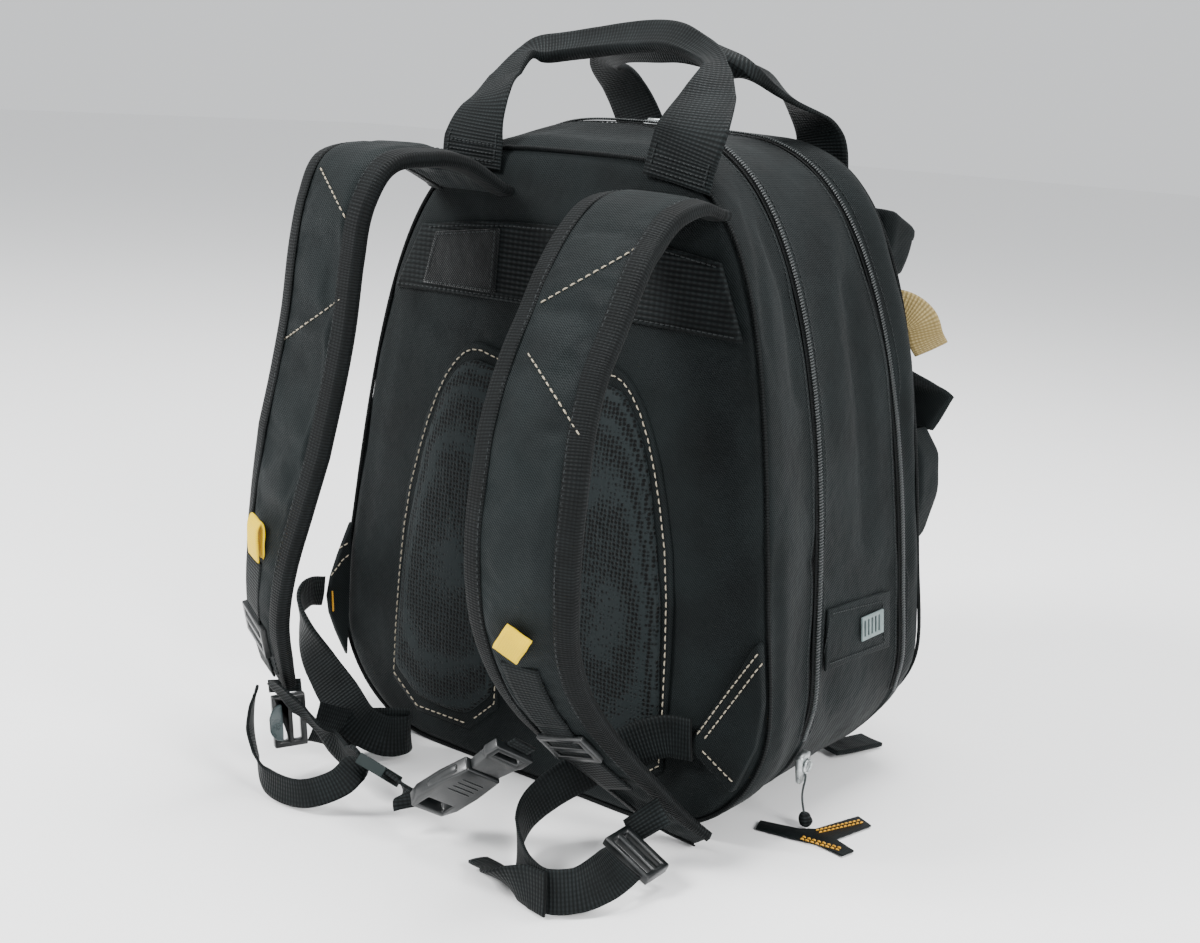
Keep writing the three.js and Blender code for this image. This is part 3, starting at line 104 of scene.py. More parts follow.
STRAP_ROWS = {
    "right": table(
        "x out rise width thick facing",
        (0.84, 0, 1, 1, 0.6, (0, 0, 1)), (0.82, 0.13, 1.01, 1, 0.8, (0, 0, 1)),
        (0.8, 0.32, 0.995, 1, 0.95, (0, -0.6, 1)), (0.79, 0.465, 0.951, 1, 1, (0, -1, 0.8)),
        (0.81, 0.58, 0.91, 1, 1, (0, -1, 0.6)), (0.83, 0.7, 0.849, 1, 1, (0, -1, 0.5)),
        (0.84, 0.82, 0.783, 1, 1, (0, -1, 0.4)), (0.88, 0.936, 0.703, 1, 1, (0.05, -1, 0.3)),
        (0.92, 1, 0.637, 1, 1, (0.08, -1, 0.1)), (0.92, 1.02, 0.552, 1, 1, (0.1, -1, 0)),
        (0.91, 1, 0.476, 0.98, 1, (0.12, -1, -0.2)), (0.88, 0.936, 0.402, 0.94, 1, (0.12, -1, -0.4)),
        (0.87, 0.82, 0.322, 0.9, 1, (0.12, -1, -0.6)),
        (0.91, 0.68, 0.251, 0.86, 0.95, (0.12, -1, -0.7)),
        (1.01, 0.493, 0.176, 0.76, 0.85, (0.1, -1, -0.8)),
        (1.14, 0.32, 0.11, 0.64, 0.7, (0.1, -1, -0.8)),
        (1.29, 0.2, 0.058, 0.54, 0.55, (0.1, -1, -0.8)),
        (1.47, 0.11, 0.025, 0.34, 0.4, (0.1, -1, -0.8)),
    ),
    "left": table(
        "x out rise width thick facing",
        (-0.8, 0, 1, 1, 0.6, (0, 0, 1)), (-0.83, 0.257, 1.041, 1, 0.85, (0, 0.2, 1)),
        (-0.84, 0.507, 1.05, 1, 1, (0, -0.15, 1)), (-0.87, 0.71, 1.035, 1, 1, (-0.1, -0.8, 0.9)),
        (-0.89, 0.8, 0.98, 1, 1, (-0.2, -1, 0.4)), (-0.92, 0.83, 0.903, 1, 1, (-0.2, -1, 0.1)),
        (-0.93, 0.864, 0.793, 1, 1, (-0.2, -1, 0.1)), (-0.97, 0.893, 0.698, 1, 1, (-0.2, -1, 0.1)),
        (-1.01, 0.936, 0.601, 1, 1, (-0.2, -1, 0.1)), (-1.07, 0.964, 0.501, 0.96, 1, (-0.3, -1, 0)),
        (-1.13, 0.979, 0.402, 0.88, 1, (-0.4, -1, -0.1)),
        (-1.18, 0.95, 0.309, 0.76, 1, (-0.5, -1, -0.3)),
        (-1.22, 0.879, 0.235, 0.6, 0.9, (-0.5, -1, -0.4)),
        (-1.24, 0.82, 0.18, 0.45, 0.7, (-0.5, -1, -0.5)),
    ),
}

LOWER_RIGHT = table(
    "x out rise facing",
    (1.32, 0.078, 0.71, (0, 1, 0)), (1.14, 0.1, 0.69, (-0.2, 1, 0)),
    (0.95, 0.2, 0.6, (-0.5, 0.85, 0.1)), (0.8, 0.35, 0.47, (-0.7, 0.7, 0.1)),
    (0.69, 0.49, 0.36, (-0.85, 0.45, 0.1)), (0.65, 0.61, 0.26, (-1, 0.15, 0.1)),
    (0.72, 0.73, 0.19, (-1, -0.2, 0)), (0.89, 0.86, 0.155, (-0.7, -0.7, 0)),
    (1.06, 0.95, 0.15, (-0.35, -1, 0)), (1.22, 0.985, 0.155, (0.2, -1, 0)),
    (1.35, 0.92, 0.17, (0.9, -0.6, 0.1)), (1.4, 0.79, 0.19, (0.8, 0, 0.5)),
    (1.38, 0.62, 0.19, (0.43, 0, 0.9)),
)

LOWER_LEFT = table(
    "x out rise facing wide",
    (-1.82, 0.137, 0.94, (-1, 0, 0), 0.8), (-1.79, 0.25, 0.97, (-1, -0.2, 0), 0.8),
    (-1.73, 0.36, 0.93, (-1, -0.5, 0.1), 0.9), (-1.6, 0.42, 0.8, (-0.5, -0.9, 0)),
    (-1.42, 0.43, 0.6, (0.3, -0.9, 0)), (-1.22, 0.43, 0.42, (0.56, -0.79, 0.23)),
    (-1.02, 0.43, 0.27, (0.56, -0.79, 0.23)), (-0.86, 0.37, 0.2, (0.6, -0.7, 0.2)),
    (-0.78, 0.28, 0.2, (1, 0.1, 0)), (-0.86, 0.2, 0.19, (0, 1, 0)), (-1.02, 0.27, 0.18, (-0.5, 1, 0)),
    (-1.12, 0.45, 0.21, (-1, 0.5, 0)), (-1.125, 0.665, 0.35, (-1, 0, 0)),
)

LOWER_TAIL = table(
    "x out rise facing wide",
    (1.24, 1.014, 0.155, (0.2, -1, 0)), (1.1, 1.006, 0.15, (0, -1, -0.1)),
    (0.98, 1.005, 0.13, (0, -1, -0.4), 0.9), (0.86, 0.985, 0.105, (0, -0.7, -1), 0.75),
    (0.74, 0.9, 0.075, (0, -0.3, -1), 0.7), (0.57, 0.865, 0.055, (0, -0.1, -1), 0.5),
)

STUB_RIGHT = table(
    "x out rise facing",
    (1.25, 0.372, 0.37, (0.25, -0.95, 0.1)), (1.32, 0.39, 0.31, (0.25, -0.95, 0.1)),
    (1.37, 0.39, 0.255, (0.25, -0.95, 0.1)),
)

STUB_LEFT = table(
    "x out rise facing",
    (-1.222, 0.8, 0.675, (0.5, -0.8, 0)), (-1.21, 0.798, 0.592, (0.5, -0.8, 0)),
)

HANDLES = {
    "handle_rear": table(
        "side depth rise width thick facing",
        (-0.88, 0.013, 0.888, 1, 1, (0, -1, 0.05)), (-0.87, 0.016, 0.926, 1, 1, (0, -1, 0.1)),
        (-0.85, 0.058, 0.981, 0.85, 1, (-0.2, -0.9, 0.3)),
        (-0.87, 0.155, 1.018, 0.6, 1.2, (-0.2, -0.9, 0.4)),
        (-0.84, 0.251, 1.052, 0.42, 1.6, (-0.4, -0.8, 0.5)),
        (-0.66, 0.309, 1.062, 0.34, 2, (-0.2, -1, 0.7)), (-0.36, 0.348, 1.073, 0.36, 2, (0, -1, 0.8)),
        (-0.04, 0.367, 1.083, 0.42, 2, (0, -1, 0.8)), (0.32, 0.357, 1.081, 0.38, 2, (0, -1, 0.8)),
        (0.59, 0.329, 1.063, 0.32, 1.8, (0.2, -1, 0.8)),
        (0.79, 0.251, 1.042, 0.3, 1.6, (0.6, -0.9, 0.5)),
        (0.92, 0.135, 1.006, 0.7, 1.2, (0.3, -0.9, 0.4)),
        (0.97, 0.029, 0.963, 0.95, 1, (0.1, -1, 0.2)), (0.93, 0.016, 0.924, 1, 1, (0, -1, 0.1)),
        (0.9, 0.013, 0.892, 1, 1, (0, -1, 0.05)),
    ),
    "handle_front": table(
        "side depth rise width thick facing",
        (-0.95, 1.012, 0.9, 0.9, 1, (0, 1, 0.1)), (-1.0, 1.005, 0.955, 0.85, 1, (-0.1, 1, 0.4)),
        (-1.08, 0.928, 1.017, 0.7, 1, (-0.2, 0.9, 0.5)),
        (-1.05, 0.797, 1.05, 0.5, 1.2, (-0.3, 0.9, 0.6)),
        (-0.7, 0.676, 1.066, 0.3, 1.8, (-0.2, 1, 0.6)), (-0.24, 0.609, 1.07, 0.28, 2, (0, 1, 0.6)),
        (0.15, 0.589, 1.068, 0.28, 2, (0, 1, 0.6)), (0.45, 0.618, 1.051, 0.28, 1.8, (0.3, 1, 0.6)),
        (0.54, 0.73, 1.036, 0.36, 1.4, (0.7, 0.7, 0.5)),
        (0.57, 0.85, 1.018, 0.5, 1.2, (0.6, 0.6, 0.6)), (0.63, 0.95, 0.99, 0.75, 1, (0.3, 0.8, 0.6)),
        (0.7, 1.005, 0.955, 0.85, 1, (0.1, 1, 0.4)), (0.72, 1.012, 0.9, 0.9, 1, (0, 1, 0.1)),
    ),
}

FLAP_ROWS = table(
    "rise out wide facing",
    (0.64, 1.6, 0.72, (0, 1, 0.1)), (0.622, 8, 0.78, (0, 1, 0.8)), (0.6, 22, 0.86, (0, 1, 1)),
    (0.577, 36, 0.92, (0, 1, 0.3)), (0.52, 36, 0.84, (0, 1, 0)),
)

LOOP_ROWS = table(
    "side out rise",
    (0.32, 1.8, 0.713), (0.372, 8, 0.711), (0.4, 13, 0.695), (0.41, 18, 0.667), (0.413, 26, 0.65),
)

FOOT_ROWS = table(
    "side depth rise",
    (0.365, 0.87, 6), (0.38, 0.94, 5), (0.39, 1.02, 3.6), (0.4, 1.09, 2.6),
)

SLIDER_ROWS = table(
    "side depth rise wide thick",
    (0.489, 0.252, 56, 1, 1), (0.488, 0.262, 46, 1, 0.9), (0.485, 0.27, 36, 0.7, 0.6),
)

TAB_ROWS = table(
    "along lift",
    (0, 0.04), (0.4, 0.26), (0.85, 0.42), (1, 0.72), (0.85, 1), (0.4, 0.86), (0, 0.6),
)

UPPER_POCKET = table(
    "rise half out",
    (0.745, 0.335, 24), (0.8, 0.35, 31), (0.862, 0.355, 34),
)

LOWER_POCKET = table(
    "rise half out",
    (0.335, 0.42, 12), (0.36, 0.445, 22), (0.43, 0.46, 30), (0.49, 0.455, 30), (0.53, 0.425, 26),
)

STERNUM_RIGHT = table(
    "x out rise facing",
    (0.68, 0.737, 0.744, (0.62, -0.52, -0.56)), (0.73, 0.725, 0.787, (0.62, -0.52, -0.56)),
)

STERNUM_LEFT = table(
    "x out rise facing lift",
    (-0.01, 0.855, 0.19, (0.62, -0.52, -0.56)), (-0.05, 0.85, 0.28, (0.3, -0.6, -0.7), -0.5),
    (-0.16, 0.85, 0.337, KEEPER_FACING, -KEEPER_LIFT), (*KEEPER_PLACE, KEEPER_FACING, -KEEPER_LIFT),
    (-0.4, 0.85, 0.373, KEEPER_FACING, -KEEPER_LIFT), (-0.45, 0.845, 0.38, (0, -0.8, -0.5), -1.2),
    (-0.6, 0.8, 0.31, (0, -1, -0.2)), (-0.84, 0.76, 0.36, (-0.4, -1, 0)),
    (-0.98, 0.86, 0.56, (-0.3, -1, 0)), (-1.12, 0.94, 0.74, (-0.5, -1, 0)),
)

STERNUM_TAIL = table(
    "x out rise facing lift wide",
    (-0.16, 0.85, 0.337, KEEPER_FACING, KEEPER_LIFT), (*KEEPER_PLACE, KEEPER_FACING, KEEPER_LIFT),
    (-0.4, 0.85, 0.373, KEEPER_FACING, KEEPER_LIFT), (-0.44, 0.865, 0.345, (0, -0.8, -0.5), 1.5),
    (-0.5, 0.93, 0.24, (0, -1, -0.3)), (-0.68, 1.01, 0.14, (0, -1, 0)),
    (-0.88, 1.03, 0.115, (-0.1, -1, 0)), (-1.06, 1.02, 0.14, (-0.5, -0.8, 0)),
    (-1.17, 1, 0.25, (-0.8, -0.6, 0)), (-1.25, 0.985, 0.41, (-0.8, -0.6, 0)),
    (-1.23, 0.985, 0.6, (-0.8, -0.6, 0), 0, 0.9), (-1.2, 0.985, 0.68, (-0.8, -0.6, 0), 0, 0.6),
)

SEAMS = {
    "rear": dict(back=0, lean=0.053, bulge=-0.02, width=1, height=0.925, lift=0, power=4.4),
    "rearEdge": dict(back=0.055, lean=0.053, bulge=0, width=1.012, height=0.943, lift=0, power=4),
    "nearZip": dict(back=0.2, lean=0.124, bulge=0.07, width=0.985, height=0.963, lift=0, power=3.3),
    "middle": dict(back=0.52, lean=0, bulge=0.08, width=0.985, height=0.955, lift=0, power=3.4),
    "farZip": dict(back=0.84, lean=-0.086, bulge=0.065, width=0.994, height=0.955, lift=0, power=3.4),
    "frontEdge": dict(back=0.94, lean=-0.05, bulge=0.04, width=1.006, height=0.962, lift=0.08, power=4),
    "front": dict(back=1, lean=-0.07, bulge=0.028, width=1, height=0.955, lift=0.22, power=4),
}

PAD_OUTLINE = table(
    "out rise",
    (0, 0), (1, 0), (1, 0.28), (0.97, 0.55), (0.83, 0.76), (0.67, 0.9), (0.5, 0.98), (0.36, 1),
    (0.18, 0.985), (0, 0.97), (0, 0.65), (0, 0.32),
)

LADDERS = {
    "right": dict(x=1.38, out=0.525, rise=0.195, across=(0.9, 0, -0.43), along=(0, -1, -0.05)),
    "left": dict(x=-1.18, out=0.79, rise=0.4, across=(0.08, 0.04, -1), along=(0.5, 0.8, 0)),
}


# Camera
def camera_axes():
    level = math.cos(ELEVATION)
    back = Vector((math.sin(AZIMUTH) * level, -math.cos(AZIMUTH) * level, math.sin(ELEVATION)))
    right = (-back).cross(Vector((0, 0, 1))).normalized()
    up = right.cross(-back)
    across = right * math.cos(ROLL) + up * math.sin(ROLL)
    rise = up * math.cos(ROLL) - right * math.sin(ROLL)
    return across, rise, back


ACROSS, RISE, BACK = camera_axes()
EYE = TARGET + BACK * DISTANCE


def make_camera():
    data = bpy.data.cameras.new("camera")
    data.sensor_width = SENSOR
    data.lens = FOCAL_PIXELS / PHOTO_WIDTH * SENSOR
    data.clip_start = 0.05
    camera = bpy.data.objects.new("camera", data)
    camera.location = EYE * MM
    camera.rotation_euler = Matrix((ACROSS, RISE, BACK)).transposed().to_euler()
    scene.collection.objects.link(camera)
    scene.camera = camera


# Direction from the eye through a pixel of the photograph
def sight(pixel):
    x = (pixel[0] - PHOTO_WIDTH / 2) / FOCAL_PIXELS
    y = (PHOTO_HEIGHT / 2 - pixel[1]) / FOCAL_PIXELS
    return (ACROSS * x + RISE * y - BACK).normalized()


# Materials: each finish is a small node tree on object or strip coordinates
class Finish:
    def __init__(self, name, rough, sheen=0.0, metal=0.0, coat=0.0, gloss=0.5):
        self.material = bpy.data.materials.new(name)
        self.material.use_nodes = True
        self.tree = self.material.node_tree
        self.shader = self.tree.nodes["Principled BSDF"]
        self.shader.inputs["Roughness"].default_value = rough
        self.shader.inputs["Metallic"].default_value = metal
        self.shader.inputs["Sheen Weight"].default_value = sheen
        self.shader.inputs["Sheen Roughness"].default_value = 0.45
        self.shader.inputs["Coat Weight"].default_value = coat
        self.shader.inputs["Specular IOR Level"].default_value = gloss
        self.place = self.tree.nodes.new("ShaderNodeTexCoord")

    def link(self, value, socket):
        if hasattr(value, "is_linked"):
            self.tree.links.new(value, socket)
        else:
            socket.default_value = value

    def node(self, kind, output, **inputs):
        node = self.tree.nodes.new(kind)
        for key, value in inputs.items():
            name = key.replace("_", " ")
            if name in node.inputs:
                self.link(value, node.inputs[name])
            else:
                setattr(node, key, value)
        return node.outputs[output]

    def coords(self, flat):
        return self.place.outputs["UV" if flat else "Object"]

    def wave(self, period, direction, flat=False):
        scale = (0.628 if direction == "DIAGONAL" else 0.314) / (period * MM)
        node = self.tree.nodes.new("ShaderNodeTexWave")
        node.bands_direction = direction
        node.inputs["Scale"].default_value = scale
        self.link(self.coords(flat), node.inputs["Vector"])
        return node.outputs["Fac"]

    def noise(self, size, detail=4.0):
        place = self.coords(False)
        return self.node("ShaderNodeTexNoise", "Fac", Vector=place, Scale=1 / (size * MM), Detail=detail)

    def maths(self, operation, a, b):
        node = self.tree.nodes.new("ShaderNodeMath")
        node.operation = operation
        self.link(a, node.inputs[0])
        self.link(b, node.inputs[1])
        return node.outputs[0]

    def spread(self, value, low, high, to_low=0.0, to_high=1.0):
        node = self.tree.nodes.new("ShaderNodeMapRange")
        self.link(value, node.inputs["Value"])
        for key, number in zip(("From Min", "From Max", "To Min", "To Max"), (low, high, to_low, to_high)):
            node.inputs[key].default_value = number
        return node.outputs["Result"]

    def mix(self, share, a, b):
        node = self.tree.nodes.new("ShaderNodeMix")
        node.data_type = "RGBA"
        self.link(share, node.inputs["Factor"])
        for value, socket in ((a, node.inputs[6]), (b, node.inputs[7])):
            self.link((*value, 1.0) if isinstance(value, tuple) else value, socket)
        return node.outputs[2]

    def finish(self, colour, height=None, depth=0.3, rough=None):
        self.link(colour, self.shader.inputs["Base Color"])
        if rough is not None:
            self.link(rough, self.shader.inputs["Roughness"])
        if height is not None:
            bump = self.tree.nodes.new("ShaderNodeBump")
            bump.inputs["Distance"].default_value = depth * MM
            bump.inputs["Strength"].default_value = 1.0
            self.link(height, bump.inputs["Height"])
            self.link(bump.outputs["Normal"], self.shader.inputs["Normal"])
        return self.material


def twill(name, dark, light, rough=0.66, sheen=0.02):
    finish = Finish(name, rough, sheen, gloss=0.1)
    ribs = finish.wave(2.0, "DIAGONAL")
    picks = finish.wave(1.3, "Z")
    weave = finish.maths("ADD", finish.maths("MULTIPLY", ribs, 0.7), finish.maths("MULTIPLY", picks, 0.3))
    soft = finish.noise(38, 3.0)
    crumple = finish.noise(14, 4.0)
    patches = finish.spread(soft, 0.3, 0.7, 0.45, 1.0)
    shade = finish.maths("MULTIPLY", patches, finish.spread(weave, 0, 1, 0.05, 1.35))
    colour = finish.mix(shade, dark, light)
    relief = finish.maths("ADD", weave, finish.maths("MULTIPLY", crumple, 5.0))
    return finish.finish(colour, relief, 0.34, finish.spread(weave, 0, 1, rough + 0.1, rough - 0.06))


def webbing_finish(name, dark, light, rough=0.6, rib=2.2, depth=0.45, sheen=0.02):
    finish = Finish(name, rough, sheen, gloss=0.1)
    ribs = finish.wave(rib, "Y", flat=True)
    ends = finish.wave(rib * 1.3, "X", flat=True)
    weave = finish.maths("MULTIPLY", finish.spread(ribs, 0, 1, 0.2, 1), finish.spread(ends, 0, 1, 0.6, 1))
    soft = finish.noise(22, 4.0)
    shade = finish.maths("MULTIPLY", weave, finish.spread(soft, 0.3, 0.7, 0.4, 1.0))
    colour = finish.mix(shade, dark, light)
    return finish.finish(colour, weave, depth, finish.spread(weave, 0, 1, rough + 0.15, rough - 0.1))


def mesh_finish(name):
    finish = Finish(name, 0.7, 0.02, gloss=0.12)
    cells = finish.tree.nodes.new("ShaderNodeTexVoronoi")
    cells.feature = "F1"
    cells.inputs["Scale"].default_value = 1 / (2.9 * MM)
    cells.inputs["Randomness"].default_value = 0.25
    finish.link(finish.coords(False), cells.inputs["Vector"])
    hole = finish.spread(cells.outputs["Distance"], 0.28, 0.5)
    threads = finish.wave(0.9, "DIAGONAL")
    shade = finish.maths("MULTIPLY", hole, finish.spread(threads, 0, 1, 0.6, 1))
    # Colour: the threads keep their own dark tone, and the cells between them are painted near-black as
    # painted shade inside the mesh holes
    colour = finish.mix(shade, (0.0006, 0.0008, 0.0008), (0.012, 0.0165, 0.0175))
    return finish.finish(colour, hole, 1.2)


def plastic_finish(name, colour, rough, grain=0.06):
    finish = Finish(name, rough, coat=0.15)
    soft = finish.noise(9, 5.0)
    light = tuple(min(1.0, c * 1.5 + 0.004) for c in colour)
    shade = finish.mix(finish.spread(soft, 0.35, 0.7), colour, light)
    grains = finish.noise(0.9, 2.0)
    return finish.finish(shade, grains, grain, finish.spread(soft, 0.3, 0.7, rough, rough + 0.18))


def metal_finish(name):
    finish = Finish(name, 0.3, metal=0.95)
    soft = finish.noise(5, 5.0)
    colour = finish.mix(finish.spread(soft, 0.3, 0.7), (0.25, 0.27, 0.27), (0.62, 0.65, 0.65))
    return finish.finish(colour, finish.noise(0.7), 0.05, finish.spread(soft, 0.3, 0.7, 0.22, 0.5))


def thread_finish(name, colour):
    finish = Finish(name, 0.7, 0.1, gloss=0.2)
    ply = finish.wave(0.7, "DIAGONAL")
    dark = tuple(c * 0.55 for c in colour)
    return finish.finish(finish.mix(ply, dark, colour), ply, 0.15)


DARK = (0.0008, 0.0012, 0.0013)
LIGHT = (0.0072, 0.0105, 0.011)
FINISH_ROWS = [
    ("cloth", "pack_fabric", twill, DARK, LIGHT),
    ("strap_cloth", "pack_fabric", twill, (0.0014, 0.0021, 0.0023), (0.0098, 0.0138, 0.0143)),
    ("air_mesh", "air_mesh", mesh_finish),
    ("webbing", "webbing", webbing_finish, (0.0006, 0.0009, 0.0009), (0.0105, 0.0142, 0.0149)),
    ("band", "webbing", webbing_finish, (0.0006, 0.0009, 0.0009), (0.0095, 0.013, 0.0137), 0.6, 3.2, 0.7),
    ("binding", "webbing", webbing_finish, (0.0004, 0.0006, 0.0006), (0.0055, 0.0075, 0.008), 0.6, 1.8),
    ("satin", "webbing", webbing_finish, (0.002, 0.003, 0.003), (0.007, 0.0095, 0.01), 0.42, 1.2, 0.1),
    ("loop_pile", "webbing", twill, (0.0008, 0.001, 0.001), (0.004, 0.0055, 0.006), 0.92, 0.25),
    ("tape", "zip_tape", webbing_finish, (0.0006, 0.0008, 0.0008), (0.004, 0.0055, 0.006), 0.6, 1.3, 0.2),
    ("coil", "zip_tape", plastic_finish, (0.009, 0.012, 0.0125), 0.36),
    ("plastic", "hard_plastic", plastic_finish, (0.0025, 0.0035, 0.0038), 0.3),
    ("tongue", "hard_plastic", plastic_finish, (0.035, 0.05, 0.052), 0.2),
    ("grey", "grey_plastic", plastic_finish, (0.09, 0.12, 0.12), 0.5),
    ("elastic", "grey_elastic", webbing_finish, (0.01, 0.014, 0.014), (0.06, 0.08, 0.08), 0.6, 1.4),
    ("metal", "slider_metal", metal_finish),
    ("yellow", "yellow_ribbon", webbing_finish, (0.62, 0.4, 0.0), (0.82, 0.58, 0.0), 0.5, 1.1, 0.12),
    ("khaki", "khaki_webbing", webbing_finish, (0.14, 0.1, 0.035), (0.36, 0.28, 0.13), 0.6, 2.0, 0.5),
    ("light_thread", "webbing", thread_finish, (0.42, 0.37, 0.28)),
    ("gold_thread", "yellow_ribbon", thread_finish, (0.85, 0.42, 0.02)),
    ("dark_thread", "webbing", thread_finish, (0.012, 0.016, 0.017)),
    ("cord", "grey_elastic", thread_finish, (0.05, 0.06, 0.06)),
]
FINISHES = {name: (kind(name, *values), slot) for name, slot, kind, *values in FINISH_ROWS}


# Pieces
def settle(piece, finish, nodes=()):
    material, slot = FINISHES[finish]
    piece.data.materials.clear()
    piece.data.materials.append(material)
    for face in piece.data.polygons:
        face.use_smooth = True
    if piece.name not in scene.collection.objects:
        scene.collection.objects.link(piece)
    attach(piece, "root")
    if nodes:
        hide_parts(*nodes)
    return piece


def make(name, points, faces, finish, nodes=(), flat=None):
    mesh = bpy.data.meshes.new(name)
    mesh.from_pydata([tuple(c * MM for c in p) for p in points], [], faces)
    if flat:
        layer = mesh.uv_layers.new(name="flat")
        for loop in mesh.loops:
            layer.data[loop.index].uv = [c * MM for c in flat[loop.vertex_index]]
    mesh.update()
    return settle(bpy.data.objects.new(name, mesh), finish, nodes)


def grid_faces(rows, count, closed):
    faces = []
    for k in range(rows - 1):
        for i in range(count if closed else count - 1):
            j = (i + 1) % count
            faces.append((k * count + i, k * count + j, (k + 1) * count + j, (k + 1) * count + i))
    return faces


# Faces of a closed form of rings, with a cap on both ends
def capped(rows, count):
    ends = [tuple(range(count)), tuple(range((rows - 1) * count, rows * count))]
    return grid_faces(rows, count, True) + ends


# Adds a closed bead of rings to the points and faces of a piece
def add_bead(points, faces, rings):
    start = len(points)
    count = len(rings[0])
    points += [p for ring in rings for p in ring]
    faces += [tuple(start + i for i in face) for face in grid_faces(len(rings), count, True)]
    faces.append(tuple(range(start + count - 1, start - 1, -1)))
    faces.append(tuple(range(len(points) - count, len(points))))


def outward(piece):
    shape = bmesh.new()
    shape.from_mesh(piece.data)
    bmesh.ops.recalc_face_normals(shape, faces=shape.faces)
    shape.to_mesh(piece.data)
    shape.free()


# Makes the modified mesh the piece's own
def apply_modifiers(piece):
    depsgraph = bpy.context.evaluated_depsgraph_get()
    mesh = bpy.data.meshes.new_from_object(piece.evaluated_get(depsgraph))
    piece.modifiers.clear()
    piece.data = mesh


def modify(piece, kind, **settings):
    modifier = piece.modifiers.new(kind.lower(), kind)
    for key, value in settings.items():
        setattr(modifier, key, value)
    apply_modifiers(piece)
    return piece


def finer(piece, levels=1):
    return modify(piece, "SUBSURF", levels=levels, render_levels=levels)


# Points of a mesh in millimetres, and back
def points_of(piece):
    return [v.co / MM for v in piece.data.vertices]


def move_points(piece, mover):
    places = points_of(piece)
    normals = [vertex.normal.copy() for vertex in piece.data.vertices]
    for vertex, point, normal in zip(piece.data.vertices, places, normals):
        vertex.co = (point + mover(point, normal)) * MM
    piece.data.update()


def surface(*pieces):
    points = []
    faces = []
    for piece in pieces:
        start = len(points)
        points += points_of(piece)
        faces += [[start + i for i in face.vertices] for face in piece.data.polygons]
    return BVHTree.FromPolygons(points, faces)


# Place on a surface seen through a pixel of the photograph
def seen(tree, pixel):
    hit, normal, face, distance = tree.ray_cast(EYE, sight(pixel))
    if hit is None:
        return None
    return hit, (normal if normal.dot(BACK) > 0 else -normal)


def seen_line(tree, pixels, step=6):
    line = []
    for a, b in zip(pixels, pixels[1:]):
        count = max(1, int(math.dist(a, b) / step))
        for k in range(count):
            share = k / count
            found = seen(tree, (a[0] + (b[0] - a[0]) * share, a[1] + (b[1] - a[1]) * share))
            if found:
                line.append(found)
    found = seen(tree, pixels[-1])
    if found:
        line.append(found)
    return line


# Smooth fall from 1 at the line to 0 at the width
def near_line(point, line, width):
    best = width
    for (a, _), (b, _) in zip(line, line[1:]):
        run = b - a
        share = 0 if run.length < 1e-6 else max(0, min(1, (point - a).dot(run) / run.length_squared))
        best = min(best, (point - a - run * share).length)
    share = 1 - best / width
    return share * share * (3 - 2 * share)


# Soft creases: each is a line of photograph pixels, a width and a depth
def crease(piece, tree, creases):
    lines = [(seen_line(tree, pixels, 14), width, depth) for pixels, width, depth in creases]
    piece.data.update()

    def mover(point, normal):
        total = sum(near_line(point, line, width) * depth for line, width, depth in lines if len(line) > 1)
        return normal * -total

    move_points(piece, mover)


def crumple(piece, amount, size, seed=0):
    offset = Vector((seed * 17.3, seed * 5.1, seed * 9.7))

    def mover(point, normal):
        return normal * amount * noise.noise(point / size + offset)

    move_points(piece, mover)


# Cloth simulation with some points held; no point moves further than the cap
def simulate(piece, held, pressure=3.0, shrink=0.0, frames=16, cap=5):
    group = piece.vertex_groups.new(name="held")
    group.add(held, 1.0, "REPLACE")
    modifier = piece.modifiers.new("cloth", "CLOTH")
    settings = modifier.settings
    settings.quality = 5
    settings.mass = 0.3
    settings.tension_stiffness = 12
    settings.compression_stiffness = 12
    settings.bending_stiffness = 0.6
    settings.effector_weights.gravity = 0
    settings.use_pressure = pressure != 0
    settings.uniform_pressure_force = pressure
    settings.shrink_min = shrink
    settings.vertex_group_mass = "held"
    modifier.collision_settings.use_collision = False
    before = points_of(piece)
    scene.frame_start = 1
    scene.frame_end = frames
    for number in range(1, frames + 1):
        scene.frame_set(number)
    apply_modifiers(piece)
    piece.vertex_groups.clear()
    scene.frame_set(1)
    for vertex, start in zip(piece.data.vertices, before):
        moved = vertex.co / MM - start
        if moved.length > cap:
            vertex.co = (start + moved.normalized() * cap) * MM
    piece.data.update()


# Places along a curve through rows of points, and the strip's own frame there
def spline(points, place):
    last = len(points) - 1
    k = min(int(place), last - 1)
    share = place - k
    p1, p2 = points[k], points[k + 1]
    p0 = points[k - 1] if k > 0 else p1 * 2 - p2
    p3 = points[k + 2] if k + 2 <= last else p2 * 2 - p1
    d0, d1, d2 = (max((b - a).length ** 0.5, 1e-3) for a, b in ((p0, p1), (p1, p2), (p2, p3)))
    t1 = ((p1 - p0) / d0 - (p2 - p0) / (d0 + d1) + (p2 - p1) / d1) * d1
    t2 = ((p2 - p1) / d1 - (p3 - p1) / (d1 + d2) + (p3 - p2) / d2) * d1
    c2 = p1 * -3 + p2 * 3 - t1 * 2 - t2
    c3 = p1 * 2 - p2 * 2 + t1 + t2
    return p1 + t1 * share + c2 * share ** 2 + c3 * share ** 3


